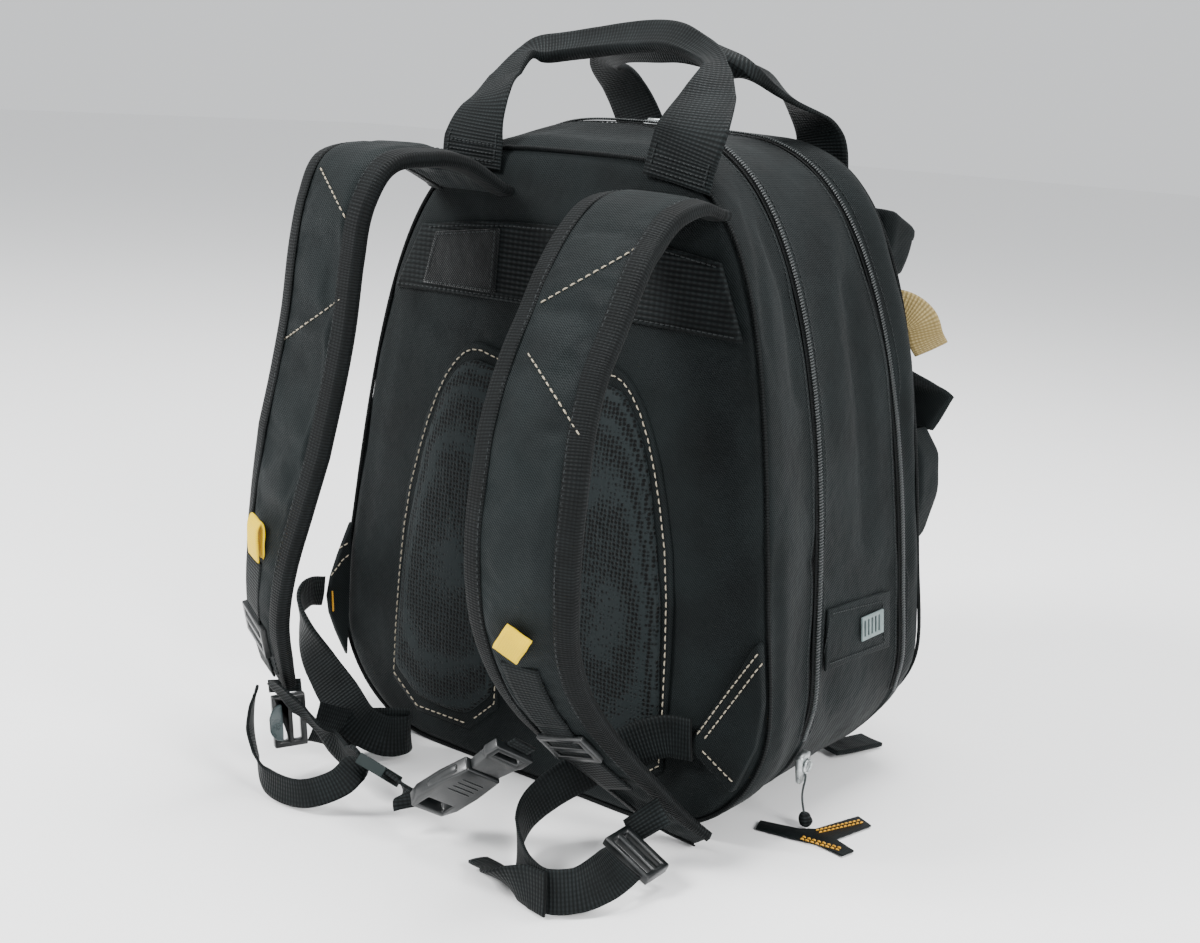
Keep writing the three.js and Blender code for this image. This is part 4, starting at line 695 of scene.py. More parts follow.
def stations(rows, steps, rooted=False):
    points = [row["at"] for row in rows]
    last = len(rows) - 1
    found = []
    along = 0
    for s in range(last * steps + 1):
        place = s / steps
        k = min(int(place), last - 1)
        share = place - k
        a, b = rows[k], rows[k + 1]
        facing = a["facing"].lerp(b["facing"], share)
        ahead = spline(points, min(last, place + 0.01))
        behind = spline(points, max(0, place - 0.01))
        tangent = Vector((0, -1, 0)) if s == 0 and rooted else (ahead - behind).normalized()
        across = tangent.cross(facing).normalized()
        at = spline(points, place)
        if found:
            along += (at - found[-1]["at"]).length
        found.append(
            dict(
                at=at,
                tangent=tangent,
                across=across,
                normal=across.cross(tangent).normalized(),
                width=a["width"] + (b["width"] - a["width"]) * share,
                thick=a["thick"] + (b["thick"] - a["thick"]) * share,
                along=along,
            )
        )
    return found


# Sections of a strip: side runs from -1 to 1 across it, face is a share of half its thickness
def web_section(count=8):
    sides = [-1 + 2 * i / count for i in range(count + 1)]
    lower = [(side * 0.97, -1) for side in sides]
    upper = [(side * 0.97, 1) for side in reversed(sides)]
    return [*lower, (1, 0), *upper, (-1, 0)]


def pad_section(count=24):
    sides = [-1 + 2 * i / count for i in range(count + 1)]

    def rise(side):
        groove = 0.16 * math.exp(-((abs(side) - 0.66) / 0.035) ** 2)
        return (1 - 0.42 * abs(side) ** 5) - groove

    lower = [(side, -rise(side)) for side in sides]
    upper = [(side, rise(side)) for side in reversed(sides)]
    return [*lower, (1.02, 0), *upper, (-1.02, 0)]


def strip(name, places, finish, nodes=(), section=None, bend=0.0):
    section = section or web_section()
    points = []
    flat = []
    for s in places:
        for side, face in section:
            cup = bend * (side * side - 0.4)
            offset = s["across"] * (side * s["width"] / 2) + s["normal"] * (face * s["thick"] / 2 + cup)
            points.append(s["at"] + offset)
            flat.append((side * s["width"] / 2, s["along"]))
    count = len(section)
    piece = make(name, points, capped(len(places), count), finish, nodes, flat)
    outward(piece)
    return piece


STITCH_RINGS = ((0, 0.4, -0.3), (0.15, 0.9, 0.4), (0.5, 1, 0.7), (0.85, 0.9, 0.4), (1, 0.4, -0.3))


# Rows of stitches: short rounded threads lying on a surface
def stitches(name, line, finish, pitch=4.2, length=3.0, radius=0.42, lift=0.25, nodes=()):
    points = []
    faces = []
    distance = [0]
    for (a, _), (b, _) in zip(line, line[1:]):
        distance.append(distance[-1] + (b - a).length)

    def at(travel):
        k = 0
        while k < len(distance) - 2 and distance[k + 1] < travel:
            k += 1
        share = (travel - distance[k]) / max(1e-6, distance[k + 1] - distance[k])
        return line[k][0].lerp(line[k + 1][0], share), line[k][1].lerp(line[k + 1][1], share).normalized()

    travel = pitch / 2
    while travel + length < distance[-1]:
        rings = []
        for share, size, high in STITCH_RINGS:
            middle, normal = at(travel + share * length)
            ahead, _ = at(min(distance[-1], travel + share * length + 0.5))
            run = (ahead - middle).normalized()
            across = run.cross(normal).normalized()
            centre = middle + normal * (lift + radius * high)
            rings.append([
                centre + (across * math.cos(turn) + normal * math.sin(turn)) * radius * size
                for turn in (i * math.pi / 3 for i in range(6))
            ])
        add_bead(points, faces, rings)
        travel += pitch
    if not points:
        return None
    return make(name, points, faces, finish, nodes)


# Round cord, welt or wire along points
def tube(name, line, radius, finish, nodes=(), sides=10, closed=False):
    points = []
    flat = []
    along = 0
    normal = None
    for k, at in enumerate(line):
        ahead = line[(k + 1) % len(line)] if closed or k < len(line) - 1 else at
        behind = line[k - 1] if closed or k else at
        run = (ahead - behind).normalized()
        if normal is None:
            normal = run.orthogonal().normalized()
        normal = (normal - run * normal.dot(run)).normalized()
        across = run.cross(normal)
        along += (at - line[k - 1]).length if k else 0
        for i in range(sides):
            turn = i * math.tau / sides
            points.append(at + (normal * math.cos(turn) + across * math.sin(turn)) * radius)
            flat.append((turn * radius, along))
    rows = len(line) + (1 if closed else 0)
    faces = []
    for face in grid_faces(rows, sides, True):
        faces.append(tuple(i % len(points) for i in face))
    if not closed:
        faces.append(tuple(range(sides)))
        faces.append(tuple(range(len(points) - sides, len(points))))
    piece = make(name, points, faces, finish, nodes, flat)
    outward(piece)
    return piece


# A hard node's own shape with moulded edges
def moulded(name, node, finish, edge=0.8):
    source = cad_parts[node]
    piece = bpy.data.objects.new(name, source.data.copy())
    settle(piece, finish, (node,))
    shape = bmesh.new()
    shape.from_mesh(piece.data)
    bmesh.ops.remove_doubles(shape, verts=shape.verts, dist=1e-6)
    bmesh.ops.dissolve_limit(shape, angle_limit=0.02, verts=shape.verts, edges=shape.edges)
    shape.to_mesh(piece.data)
    shape.free()
    modify(piece, "BEVEL", width=edge * MM, segments=3, angle_limit=0.5)
    settle(piece, finish, (node,))
    return piece


# The bag's outline, as its solids have it
CORNER_STEPS = 6
CROWN_ANGLES = (2, 5, 10, 18, 27, 36, 45, 54, 63, 72, 81)


def outline_places():
    right = [dict(part="base", share=0.5)]
    for i in range(CORNER_STEPS + 1):
        right.append(dict(part="corner", turn=i / CORNER_STEPS * math.pi / 2))
    for degrees in CROWN_ANGLES:
        right.append(dict(part="crown", turn=math.radians(degrees)))
    left = [dict(place, side=-1) for place in reversed(right)]
    return [
        dict(part="base", share=0, side=1),
        *(dict(place, side=1) for place in right),
        dict(part="crown", turn=math.pi / 2, side=1),
        *left,
    ]


PLACES = outline_places()


def outline_point(seam, place):
    flat = BAG_WIDTH / 2 - CORNER_WIDTH
    if place["part"] == "base":
        x, z = flat * place["share"], 0
    elif place["part"] == "corner":
        x = flat + CORNER_WIDTH * math.sin(place["turn"])
        z = CORNER_HEIGHT * (1 - math.cos(place["turn"]))
    else:
        power = 2 / seam["power"]
        rise = math.sin(place["turn"]) ** power * (BAG_HEIGHT * seam["height"] - CORNER_HEIGHT)
        x = (BAG_WIDTH / 2 - SIDE_TAPER * rise) * max(0, math.cos(place["turn"])) ** power
        z = CORNER_HEIGHT + rise
    return place["side"] * seam["width"] * x, z


for seam in SEAMS.values():
    seam["outline"] = [outline_point(seam, place) for place in PLACES]
    seam["inward"] = []
    for i in range(len(PLACES)):
        before = Vector(seam["outline"][i - 1])
        after = Vector(seam["outline"][(i + 1) % len(PLACES)])
        run = (after - before).normalized()
        seam["inward"].append((-run.y, run.x))


def seam_depth(seam, z):
    t = z / BAG_HEIGHT
    return BACK_Y + BAG_DEPTH * (seam["back"] + seam["lean"] * t + seam["bulge"] * 4 * t * (1 - t))


def seam_point(seam, i, forward=0, inset=0):
    x, z = seam["outline"][i]
    low = max(0, 1 - z / (2 * CORNER_HEIGHT))
    lift = seam["lift"] * CORNER_HEIGHT * low * low
    inward = seam["inward"][i]
    return Vector((x + inward[0] * inset, seam_depth(seam, z) + forward, z + lift + inward[1] * inset))


def face_y(z):
    return seam_depth(SEAMS["rear"], z) - PANEL_CROWN


def panel_half(z):
    seam = SEAMS["rear"]
    rise = max(0, z - CORNER_HEIGHT)
    share = min(1, rise / (BAG_HEIGHT * seam["height"] - CORNER_HEIGHT))
    half = (BAG_WIDTH / 2 - SIDE_TAPER * rise) * (1 - share ** seam["power"]) ** (1 / seam["power"])
    return half - GUSSET_WALL - PANEL_EDGE


# Side cloth: rows across the bag's depth, each a seam, a shift forward and an inset.
# The lips on both sides of each zip are rolled, and the tape lies lower between them.
LIP = ZIP_WIDTH / 2
LIP_ROWS = [
    (-LIP - 9, 0.2), (-LIP - 1, -1.0), (-LIP + 1.6, -0.9), (-LIP + 2.6, 0.9),
    (LIP - 2.6, 0.9), (LIP - 1.6, -0.9), (LIP + 1, -1.0),
]
GUSSET_ROWS = [
    ("rear", 3.0, 6.0), ("rear", 0, 0.6), ("rear", 2.5, -0.6), ("rearEdge", -3, 0), ("rearEdge", 6, 0),
    *(("nearZip", *row) for row in LIP_ROWS), ("nearZip", LIP + 9, 0.2), ("middle", 0, -0.5),
    *(("farZip", *row) for row in LIP_ROWS),
    ("frontEdge", -2, -0.3), ("front", -2.5, -0.4), ("front", 0, 0.8), ("front", -3.0, 6.0),
]
SIDE_CREASES = [
    ([(848, 290), (861, 380), (866, 450), (868, 540)], 18, 4.2),
    ([(762, 230), (786, 300), (796, 390)], 12, 2.4),
    ([(830, 230), (838, 330), (842, 420)], 22, -2.6),
    ([(776, 560), (779, 660), (774, 740)], 10, 1.8),
    ([(828, 690), (832, 720), (846, 745)], 16, 2.6),
    ([(900, 400), (908, 480), (908, 560)], 12, 2.0),
    ([(740, 190), (760, 260), (768, 340)], 9, 1.6),
    ([(812, 560), (850, 580), (888, 572)], 14, 2.0),
]


def gusset():
    points = [seam_point(SEAMS[s], i, f, n) for s, f, n in GUSSET_ROWS for i in range(len(PLACES))]
    faces = grid_faces(len(GUSSET_ROWS), len(PLACES), True)
    piece = make("side_cloth", points, faces, "cloth", ("gusset",))
    outward(piece)
    finer(piece, 2)
    crumple(piece, 2.2, 70, 1)
    crumple(piece, 0.7, 24, 2)
    crease(piece, surface(piece), SIDE_CREASES)
    for vertex in piece.data.vertices:
        vertex.co.z = max(vertex.co.z, 0.0)
    return piece


TOOTH_RINGS = ((-1, 0.35), (-0.75, 0.8), (0, 1), (0.75, 0.8), (1, 0.35))


# Zip tape and its coil of teeth, in the groove between the lips
def zip_pieces(name, node, seam):
    last = len(PLACES)
    run = [i for i in range(last) if SEAMS["nearZip"]["outline"][i][1] >= ZIP_END]
    rough = [seam_point(seam, i, 0, -0.9) for i in run]
    sides = [Vector((-seam["inward"][i][0], 0, -seam["inward"][i][1])) for i in run]
    steps = 10
    places = []
    along = 0
    for s in range((len(rough) - 1) * steps + 1):
        k = min(s // steps, len(rough) - 2)
        at = spline(rough, s / steps)
        normal = sides[k].lerp(sides[k + 1], s / steps - k).normalized()
        ahead = spline(rough, min(len(rough) - 1, s / steps + 0.02))
        tangent = (ahead - at).normalized() if (ahead - at).length > 1e-6 else places[-1]["tangent"]
        across = tangent.cross(normal).normalized()
        along += (at - places[-1]["at"]).length if places else 0
        places.append(dict(
            at=at - normal * 0.7, tangent=tangent, across=across, normal=normal,
            width=ZIP_WIDTH - 4, thick=0.7, along=along,
        ))
    strip(f"{name}_tape", places, "tape", (node,))
    points = []
    faces = []
    travel = 0
    k = 0
    pitch = 1.9
    while travel < places[-1]["along"] and k < len(places) - 1:
        while k < len(places) - 2 and places[k + 1]["along"] < travel:
            k += 1
        a, b = places[k], places[k + 1]
        share = (travel - a["along"]) / max(1e-6, b["along"] - a["along"])
        at = a["at"].lerp(b["at"], share)
        seat = drop(SIDE_TREE, at, a["normal"])
        rise = max((seat[0] - at).dot(a["normal"]), 0.7) if seat else 0.7
        at = at + a["normal"] * (rise + 0.9)
        lean = (a["across"] * 2.6 + a["tangent"] * 0.5)
        turns = [i * math.tau / 6 for i in range(6)]
        ring = [a["tangent"] * math.cos(turn) * 0.72 + a["normal"] * math.sin(turn) * 0.95 for turn in turns]
        rings = [[at + lean * end + side * size for side in ring] for end, size in TOOTH_RINGS]
        add_bead(points, faces, rings)
        travel += pitch
    make(f"{name}_teeth", points, faces, "coil")
    for side, word in ((-1, "rear"), (1, "front")):
        reach = side * (ZIP_WIDTH / 2 + 2.2)
        line = [(s["at"] + s["across"] * reach + s["normal"] * 1.6, s["normal"]) for s in places]
        line = [dropped for dropped in (drop(SIDE_TREE, p, n) for p, n in line) if dropped]
        stitches(f"{name}_stitch_{word}", line, "dark_thread", 3.6, 2.6, 0.35, 0.1)


# Point moved along its normal onto a surface
def drop(tree, point, normal, reach=12):
    hit, found, face, distance = tree.ray_cast(point + normal * reach, -normal, 2 * reach)
    if hit is None:
        return None
    return hit, (found if found.dot(normal) > 0 else -found)


# Crowned end of the bag, with its cloth drawn a little into folds
def end_panel(name, node, seam, sense, crown, folds):
    fit = GUSSET_WALL + GAP

    def ring(inset, forward):
        return [seam_point(seam, i, forward, inset) for i in range(len(PLACES))]

    rings = [
        ring(fit - 1.5, -sense * 2),
        ring(fit, sense * crown * 0.1),
        ring(fit + PANEL_EDGE / 3, sense * crown * 0.65),
        ring(fit + PANEL_EDGE, sense * crown),
    ]
    rim = rings[-1]
    level = (min(p.z for p in rim) + max(p.z for p in rim)) / 2
    for share in (0.92, 0.8, 0.66, 0.5, 0.34, 0.18, 0.04):
        row = []
        for p in rim:
            z = level + (p.z - level) * share
            row.append(Vector((p.x * share, seam_depth(seam, z) + sense * crown, z)))
        rings.append(row)
    points = [p for row in rings for p in row]
    faces = grid_faces(len(rings), len(PLACES), True)
    start = (len(rings) - 1) * len(PLACES)
    faces.append(tuple(range(start, start + len(PLACES))))
    piece = make(name, points, faces, "cloth", (node,))
    outward(piece)
    finer(piece, 2)
    crumple(piece, 1.3, 60, 3)
    crumple(piece, 0.5, 22, 4)
    if folds:
        crease(piece, surface(piece), folds)


BACK_FOLDS = [
    ([(700, 350), (735, 420), (745, 520)], 24, -2.0),
    ([(690, 400), (700, 500), (706, 600)], 12, 1.5),
    ([(400, 240), (390, 330), (372, 440), (362, 540)], 14, 1.6),
    ([(420, 300), (445, 330), (480, 335)], 10, 1.2),
    ([(738, 330), (752, 430), (757, 560)], 10, 1.4),
]


# Welt in the seam between the gusset and a panel
def welt(name, seam, forward, radius):
    cage = [seam_point(seam, i, forward, 1.5) for i in range(len(PLACES))]
    line = []
    for k in range(len(cage)):
        p = [cage[(k + i - 1) % len(cage)] for i in range(4)]
        for step in range(5):
            line.append(spline(p, 1 + step / 5))
    tube(name, line, radius, "binding", closed=True)


# Flat piece on the back panel, with its outline in X and Z
def patch(name, corners, lift, finish, nodes=(), bulge=0.0, steps=8, edge=0.6):
    middle = (sum(x for x, z in corners) / len(corners), sum(z for x, z in corners) / len(corners))
    rim = []
    for (x0, z0), (x1, z1) in zip(corners, corners[1:] + corners[:1]):
        for k in range(steps):
            rim.append((x0 + (x1 - x0) * k / steps, z0 + (z1 - z0) * k / steps))
    rows = []
    shares = (0.985, 0.93, 0.8, 0.6, 0.4, 0.2, 0.02)
    for share, rise in ((1, -lift), (1, -edge), *((share, 0) for share in shares)):
        row = []
        for x, z in rim:
            px = middle[0] + (x - middle[0]) * share
            pz = middle[1] + (z - middle[1]) * share
            crown = bulge * (1 - share ** 3)
            row.append(Vector((px, face_y(pz) - lift - rise - crown, pz)))
        rows.append(row)
    points = [p for row in rows for p in row]
    flat = [(p.x, p.z) for p in points]
    faces = grid_faces(len(rows), len(rim), True)
    faces.append(tuple(range((len(rows) - 1) * len(rim), len(rows) * len(rim))))
    piece = make(name, points, faces, finish, nodes, flat)
    outward(piece)
    return piece


def panel_line(corners, lift, closed=True):
    line = []
    ends = corners + corners[:1] if closed else corners
    for (x0, z0), (x1, z1) in zip(ends, ends[1:]):
        count = max(1, int(math.hypot(x1 - x0, z1 - z0) / 5))
        for k in range(count):
            x = x0 + (x1 - x0) * k / count
            z = z0 + (z1 - z0) * k / count
            line.append((Vector((x, face_y(z) - lift, z)), Vector((0, -1, 0))))
    return line


def pad_corners(side):
    return [
        (PAD_MIDDLE + side * (PAD_INNER + row["out"] * PAD_WIDTH), PAD_LEVEL + row["rise"] * PAD_HEIGHT)
        for row in PAD_OUTLINE
    ]


# Rounds a short outline into a smooth closed one
def rounded(corners, rounds=2):
    for _ in range(rounds):
        cut = []
        for (x0, z0), (x1, z1) in zip(corners, corners[1:] + corners[:1]):
            cut += [(x0 * a + x1 * b, z0 * a + z1 * b) for a, b in ((0.75, 0.25), (0.25, 0.75))]
        corners = cut
    return corners


# Point of a panel outline moved towards its middle by a length
def shrunk(corners, inset):
    middle = (sum(x for x, z in corners) / len(corners), sum(z for x, z in corners) / len(corners))
    moved = []
    for x, z in corners:
        dx, dz = x - middle[0], z - middle[1]
        scale = 1 - inset / math.hypot(dx, dz)
        moved.append((middle[0] + dx * scale, middle[1] + dz * scale))
    return moved


def mesh_pad(side, name):
    corners = pad_corners(side)
    patch(f"{name}_border", rounded(corners, 1), 2.2, "cloth", (), 0.4, 3)
    inner = rounded(shrunk(corners, 11), 1)
    pad = patch(f"{name}_mesh", inner, PAD_THICK * 0.55, "air_mesh", (name,), PAD_THICK * 0.5, 4, 2.5)
    finer(pad, 1)
    held = [i for i, p in enumerate(points_of(pad)) if p.y > face_y(p.z) - 4]
    simulate(pad, held, 1.0, 0.0, 12, 2)
    crumple(pad, 0.9, 26, 6)
    seam = panel_line(rounded(shrunk(corners, 4.5), 1), 2.8)
    stitches(f"{name}_stitch", seam, "light_thread", 5.4, 3.6, 0.5)


def back_band():
    top = BAND_LEVEL + BAND_HEIGHT / 2
    bottom = BAND_LEVEL - BAND_HEIGHT / 2
    lower = []
    upper = []
    for i in range(7):
        share = i / 3 - 1
        lower.append((share * panel_half(bottom), bottom + 2 * (1 - share * share)))
        upper.insert(0, (share * panel_half(top), top - BAND_HEIGHT * 0.18 * share * share))
    patch("coarse_band", lower + upper, 2.8, "band", ("back_band",), 0, 3)
    edges = {"low": [(x, z + 2.5) for x, z in lower], "top": [(x, z - 2.5) for x, z in upper]}
    for word, edge in edges.items():
        stitches(f"band_stitch_{word}", panel_line(edge, 3.0, False), "dark_thread", 3.8, 2.8, 0.4)
    left = PANEL_EDGE - panel_half(top)
    width = 62
    corners = [
        (left, bottom + 6), (left + width, bottom + 6),
        (left + width, top - 6), (left + width * 0.13, top - 13.5),
    ]
    patch("loop_pile_patch", corners, 4.7, "loop_pile", ("hook_patch",), 0.2, 6)
    stitches("loop_pile_stitch", panel_line(shrunk(corners, 3), 5.0), "dark_thread", 3.8, 2.8, 0.4)


WING_HEIGHT = 102
WING_LEVEL = 44
WING_REACH = 46
WING_TIP = 67


def wings():
    top = WING_LEVEL + WING_HEIGHT
    corners = [
        (panel_half(top) + PANEL_EDGE, top),
        (panel_half(WING_LEVEL) - WING_REACH + 6, WING_TIP + 6),
        (panel_half(WING_LEVEL) - WING_REACH + 4, WING_TIP - 4),
        (panel_half(WING_LEVEL) - 10, WING_LEVEL),
        (panel_half(WING_LEVEL) + PANEL_EDGE - 2, WING_LEVEL + WING_HEIGHT / 3),
        (panel_half(WING_LEVEL) + PANEL_EDGE, WING_LEVEL + WING_HEIGHT / 1.6),
    ]
    wing = patch("wing_cloth_right", corners, 4.6, "cloth", ("wing_right",), 0.8, 8, 1.4)
    finer(wing, 1)
    crumple(wing, 0.7, 20, 7)
    tree = surface(wing)
    rows = {
        "wing_seam_upper": [(764, 646), (730, 690), (697, 735)],
        "wing_seam_inner": [(768, 655), (736, 698), (703, 741)],
        "wing_seam_lower": [(700, 748), (722, 771), (744, 793)],
    }
    for name, pixels in rows.items():
        stitches(name, seen_line(tree, pixels), "light_thread", 4.6, 3.4, 0.5)
    left = moulded("wing_cloth_left", "wing_left", "cloth", 1.2)
    finer(left, 1)
    tree = surface(left)
    rows = {
        "wing_left_upper": [(328, 568), (340, 548), (352, 540)],
        "wing_left_lower": [(330, 578), (342, 560), (353, 551)],
    }
    for name, pixels in rows.items():
        stitches(name, seen_line(tree, pixels, 3), "light_thread", 4.2, 3, 0.45)
    stitches("wing_left_bartack", seen_line(tree, [(332, 590), (333, 612)], 2), "gold_thread", 1.3, 1.2, 0.7)


# Shoulder straps
def strap_places(side):
    root = -face_y(STRAP_HEIGHT) + BACK_Y + GAP
    rows = [
        dict(
            at=Vector((
                row["x"] * STRAP_SPREAD,
                BACK_Y - root - row["out"] * STRAP_REACH,
                row["rise"] * STRAP_HEIGHT,
            )),
            facing=Vector(row["facing"]),
            width=row["width"] * STRAP_WIDTH,
            thick=row["thick"] * STRAP_THICK,
        )
        for row in STRAP_ROWS[side]
    ]
    return stations(rows, 8, True)


STRAPS = {side: strap_places(side) for side in ("left", "right")}
CHEVRONS = {
    "right": {"upper": [(641, 246), (541, 303)], "lower": [(527, 351), (580, 436)]},
    "left": {"upper": [(320, 166), (352, 231)], "lower": [(344, 297), (281, 342)]},
}


def pad_rise(side):
    return 1 - 0.42 * abs(side) ** 5


def binding(name, places, edge):
    sides = (0.675, 0.70, 0.76, 0.83, 0.9, 0.96, 1.01)
    points = []
    flat = []
    for s in places:
        lift = 0.8 * min(1, s["thick"] / 4)
        ring = [(side, 1, 0 if side < 0.69 else lift) for side in sides]
        ring += [(1.045, 0, 0)]
        ring += [(side, -1, 0 if side < 0.69 else lift) for side in reversed(sides)]
        arc = 0
        for side, face, out in ring:
            high = face * (pad_rise(side) * s["thick"] / 2 + out)
            points.append(s["at"] + s["across"] * (edge * side * s["width"] / 2) + s["normal"] * high)
            flat.append((arc, s["along"]))
            arc += 2.2
    faces = grid_faces(len(places), 2 * len(sides) + 1, False)
    make(name, points, faces, "binding", (), flat)


def strap(side):
    places = STRAPS[side]
    section = pad_section()
    piece = strip(f"strap_pad_{side}", places, "strap_cloth", (f"strap_{side}",), section)
    count = len(section)
    held = [
        k * count + i
        for k in range(len(places))
        for i in range(count)
        if abs(section[i][0]) > 0.64 or k < 3 or k > len(places) - 6
    ]
    simulate(piece, held, 3.0, -0.03, 18, 2.5)
    finer(piece, 1)
    crumple(piece, 0.8, 30, 8)
    tree = surface(piece)
    for edge, word in ((-1, "inner"), (1, "outer")):
        binding(f"strap_binding_{side}_{word}", places, edge)
        line = []
        for s in places[4:-4]:
            at = s["at"] + s["across"] * (edge * 0.72 * s["width"] / 2)
            found = drop(tree, at + s["normal"] * (s["thick"] / 2 + 0.8), s["normal"])
            if found:
                line.append(found)
        stitches(f"strap_edge_{side}_{word}", line, "dark_thread", 4.2, 3.0, 0.4, 0.8)
    for word, pixels in CHEVRONS[side].items():
        line = seen_line(tree, pixels)
        stitches(f"strap_chevron_{side}_{word}", line, "light_thread", 5.0, 3.4, 0.5)


RAIL_SHIFT = {"left": 6, "right": 3}
RAIL_CLEAR = {"left": 1.3, "right": 0.5}
RAIL_SPAN = {"left": (20, 22), "right": (23, 26)}
TRIGLIDE_AT = {"left": 23, "right": 27}
TAB_LENGTH = 27
TAB_LIFT = 7
TAB_AT = {"left": 20, "right": 23}
TAB_LEAN = {"left": 0, "right": -0.7}
TAB_START = {"left": 1.5, "right": 13}
TAB_SHIFT = {"left": 0, "right": 15}
STEP = 4


def strap_trim(side):
    places = STRAPS[side]
    first, last = RAIL_SPAN[side]
    rail = []
    for s in places[first * STEP:last * STEP + 1]:
        out = s["thick"] / 2 + RAIL_CLEAR[side] + WEB_THICK / 2
        at = s["at"] + s["normal"] * out + s["across"] * RAIL_SHIFT[side]
        rail.append(dict(s, at=at, width=RAIL_WEB, thick=WEB_THICK))
    strip(f"rail_webbing_{side}", rail, "webbing", (f"strap_rail_{side}",))
    tip = []
    for k, s in enumerate(places[last * STEP:TRIGLIDE_AT[side] * STEP + 11]):
        out = s["thick"] / 2 + RAIL_CLEAR[side] + WEB_THICK / 2 + 1.6 * math.exp(-((k - 4) / 2.5) ** 2)
        at = s["at"] + s["normal"] * out + s["across"] * RAIL_SHIFT[side]
        tip.append(dict(s, at=at, width=RAIL_WEB - 0.5, thick=WEB_THICK * 0.8))
    strip(f"rail_through_{side}", tip, "webbing")
    moulded(f"triglide_plate_{side}", f"triglide_{side}", "plastic", 0.9)

    s = places[TAB_AT[side] * STEP]
    face = s["at"] + s["normal"] * (s["thick"] / 2)
    lean = (s["across"] * TAB_LEAN[side] - s["tangent"]).normalized()
    sideways = lean.cross(s["normal"]).normalized()
    rows = [
        face + s["across"] * TAB_SHIFT[side] + lean * (TAB_START[side] + row["along"] * TAB_LENGTH)
        + s["normal"] * (GAP + 0.8 + row["lift"] * TAB_LIFT)
        for row in TAB_ROWS
    ]
    found = []
    for k in range((len(rows) - 1) * 6 + 1):
        at = spline(rows, k / 6)
        ahead = spline(rows, min(len(rows) - 1, k / 6 + 0.05))
        run = (ahead - spline(rows, max(0, k / 6 - 0.05))).normalized()
        found.append(dict(
            at=at, tangent=run, across=sideways, normal=sideways.cross(run).normalized(),
            width=TAB_WIDTH, thick=1.3, along=k * TAB_LENGTH / 18,
        ))
    piece = strip(f"ribbon_{side}", found, "yellow", (f"yellow_tab_{side}",))
    crumple(piece, 0.5, 9, 9)


def place_at(row):
    return Vector((row["x"] * STRAP_SPREAD, BACK_Y - row["out"] * STRAP_REACH, row["rise"] * HANG_HEIGHT))


def hang(rows_of, width, thick=WEB_THICK):
    rows = []
    for row in rows_of:
        facing = Vector(row["facing"])
        at = place_at(row) + facing.normalized() * row.get("lift", 0)
        rows.append(dict(at=at, facing=facing, width=width * row.get("wide", 1), thick=thick))
    return stations(rows, 10)


# Each hanging webbing: its stations, width, node, cup across it, and folds
HANGING = [
    ("loop_webbing_right", LOWER_RIGHT, LOWER_WEB, "lower_webbing_right", 0.6, None),
    ("tail_webbing_right", LOWER_TAIL, LOWER_WEB, "lower_tail_right", 0.5, None),
    ("stub_webbing_right", STUB_RIGHT, LOWER_WEB, "ladder_webbing_right", 0, None),
    ("loop_webbing_left", LOWER_LEFT, LOWER_WEB, "lower_webbing_left", 0.8, (1.2, 30, 10)),
    ("stub_webbing_left", STUB_LEFT, LOWER_WEB * 0.8, "ladder_webbing_left", 0, None),
    ("chest_webbing_right", STERNUM_RIGHT, STERNUM_WEB, "sternum_webbing_right", 0, None),
    ("chest_webbing_left", STERNUM_LEFT, STERNUM_WEB, "sternum_webbing_left", 0.6, (1.0, 16, 11)),
    ("chest_tail", STERNUM_TAIL, STERNUM_WEB, "sternum_tail", 0.5, None),
]


def hanging_webbing():
    for name, stops, width, node, bend, folds in HANGING:
        piece = strip(name, hang(stops, width), "webbing", (node,), bend=bend)
        if folds:
            crumple(piece, *folds)


def frame_at(at, across, along):
    x = across.normalized()
    z = x.cross(along).normalized()
    return at, x, z.cross(x), z


# Flat rounded bar in a local frame, from one place to another
def bar(name, local, start, end, width, thick, finish, level=0, section=10):
    at, x, y, z = local
    a = at + x * start[0] + y * start[1] + z * level
    b = at + x * end[0] + y * end[1] + z * level
    run = (b - a).normalized()
    side = z.cross(run)
    points = []
    for share, size in ((0, 0.6), (0.06, 1), (0.94, 1), (1, 0.6)):
        middle = a.lerp(b, share)
        for i in range(section):
            turn = i * math.tau / section
            points.append(
                middle + side * math.cos(turn) * width / 2 * size + z * math.sin(turn) * thick / 2 * size
            )
    piece = make(name, points, capped(4, section), finish)
    outward(piece)
    return finer(piece, 1)


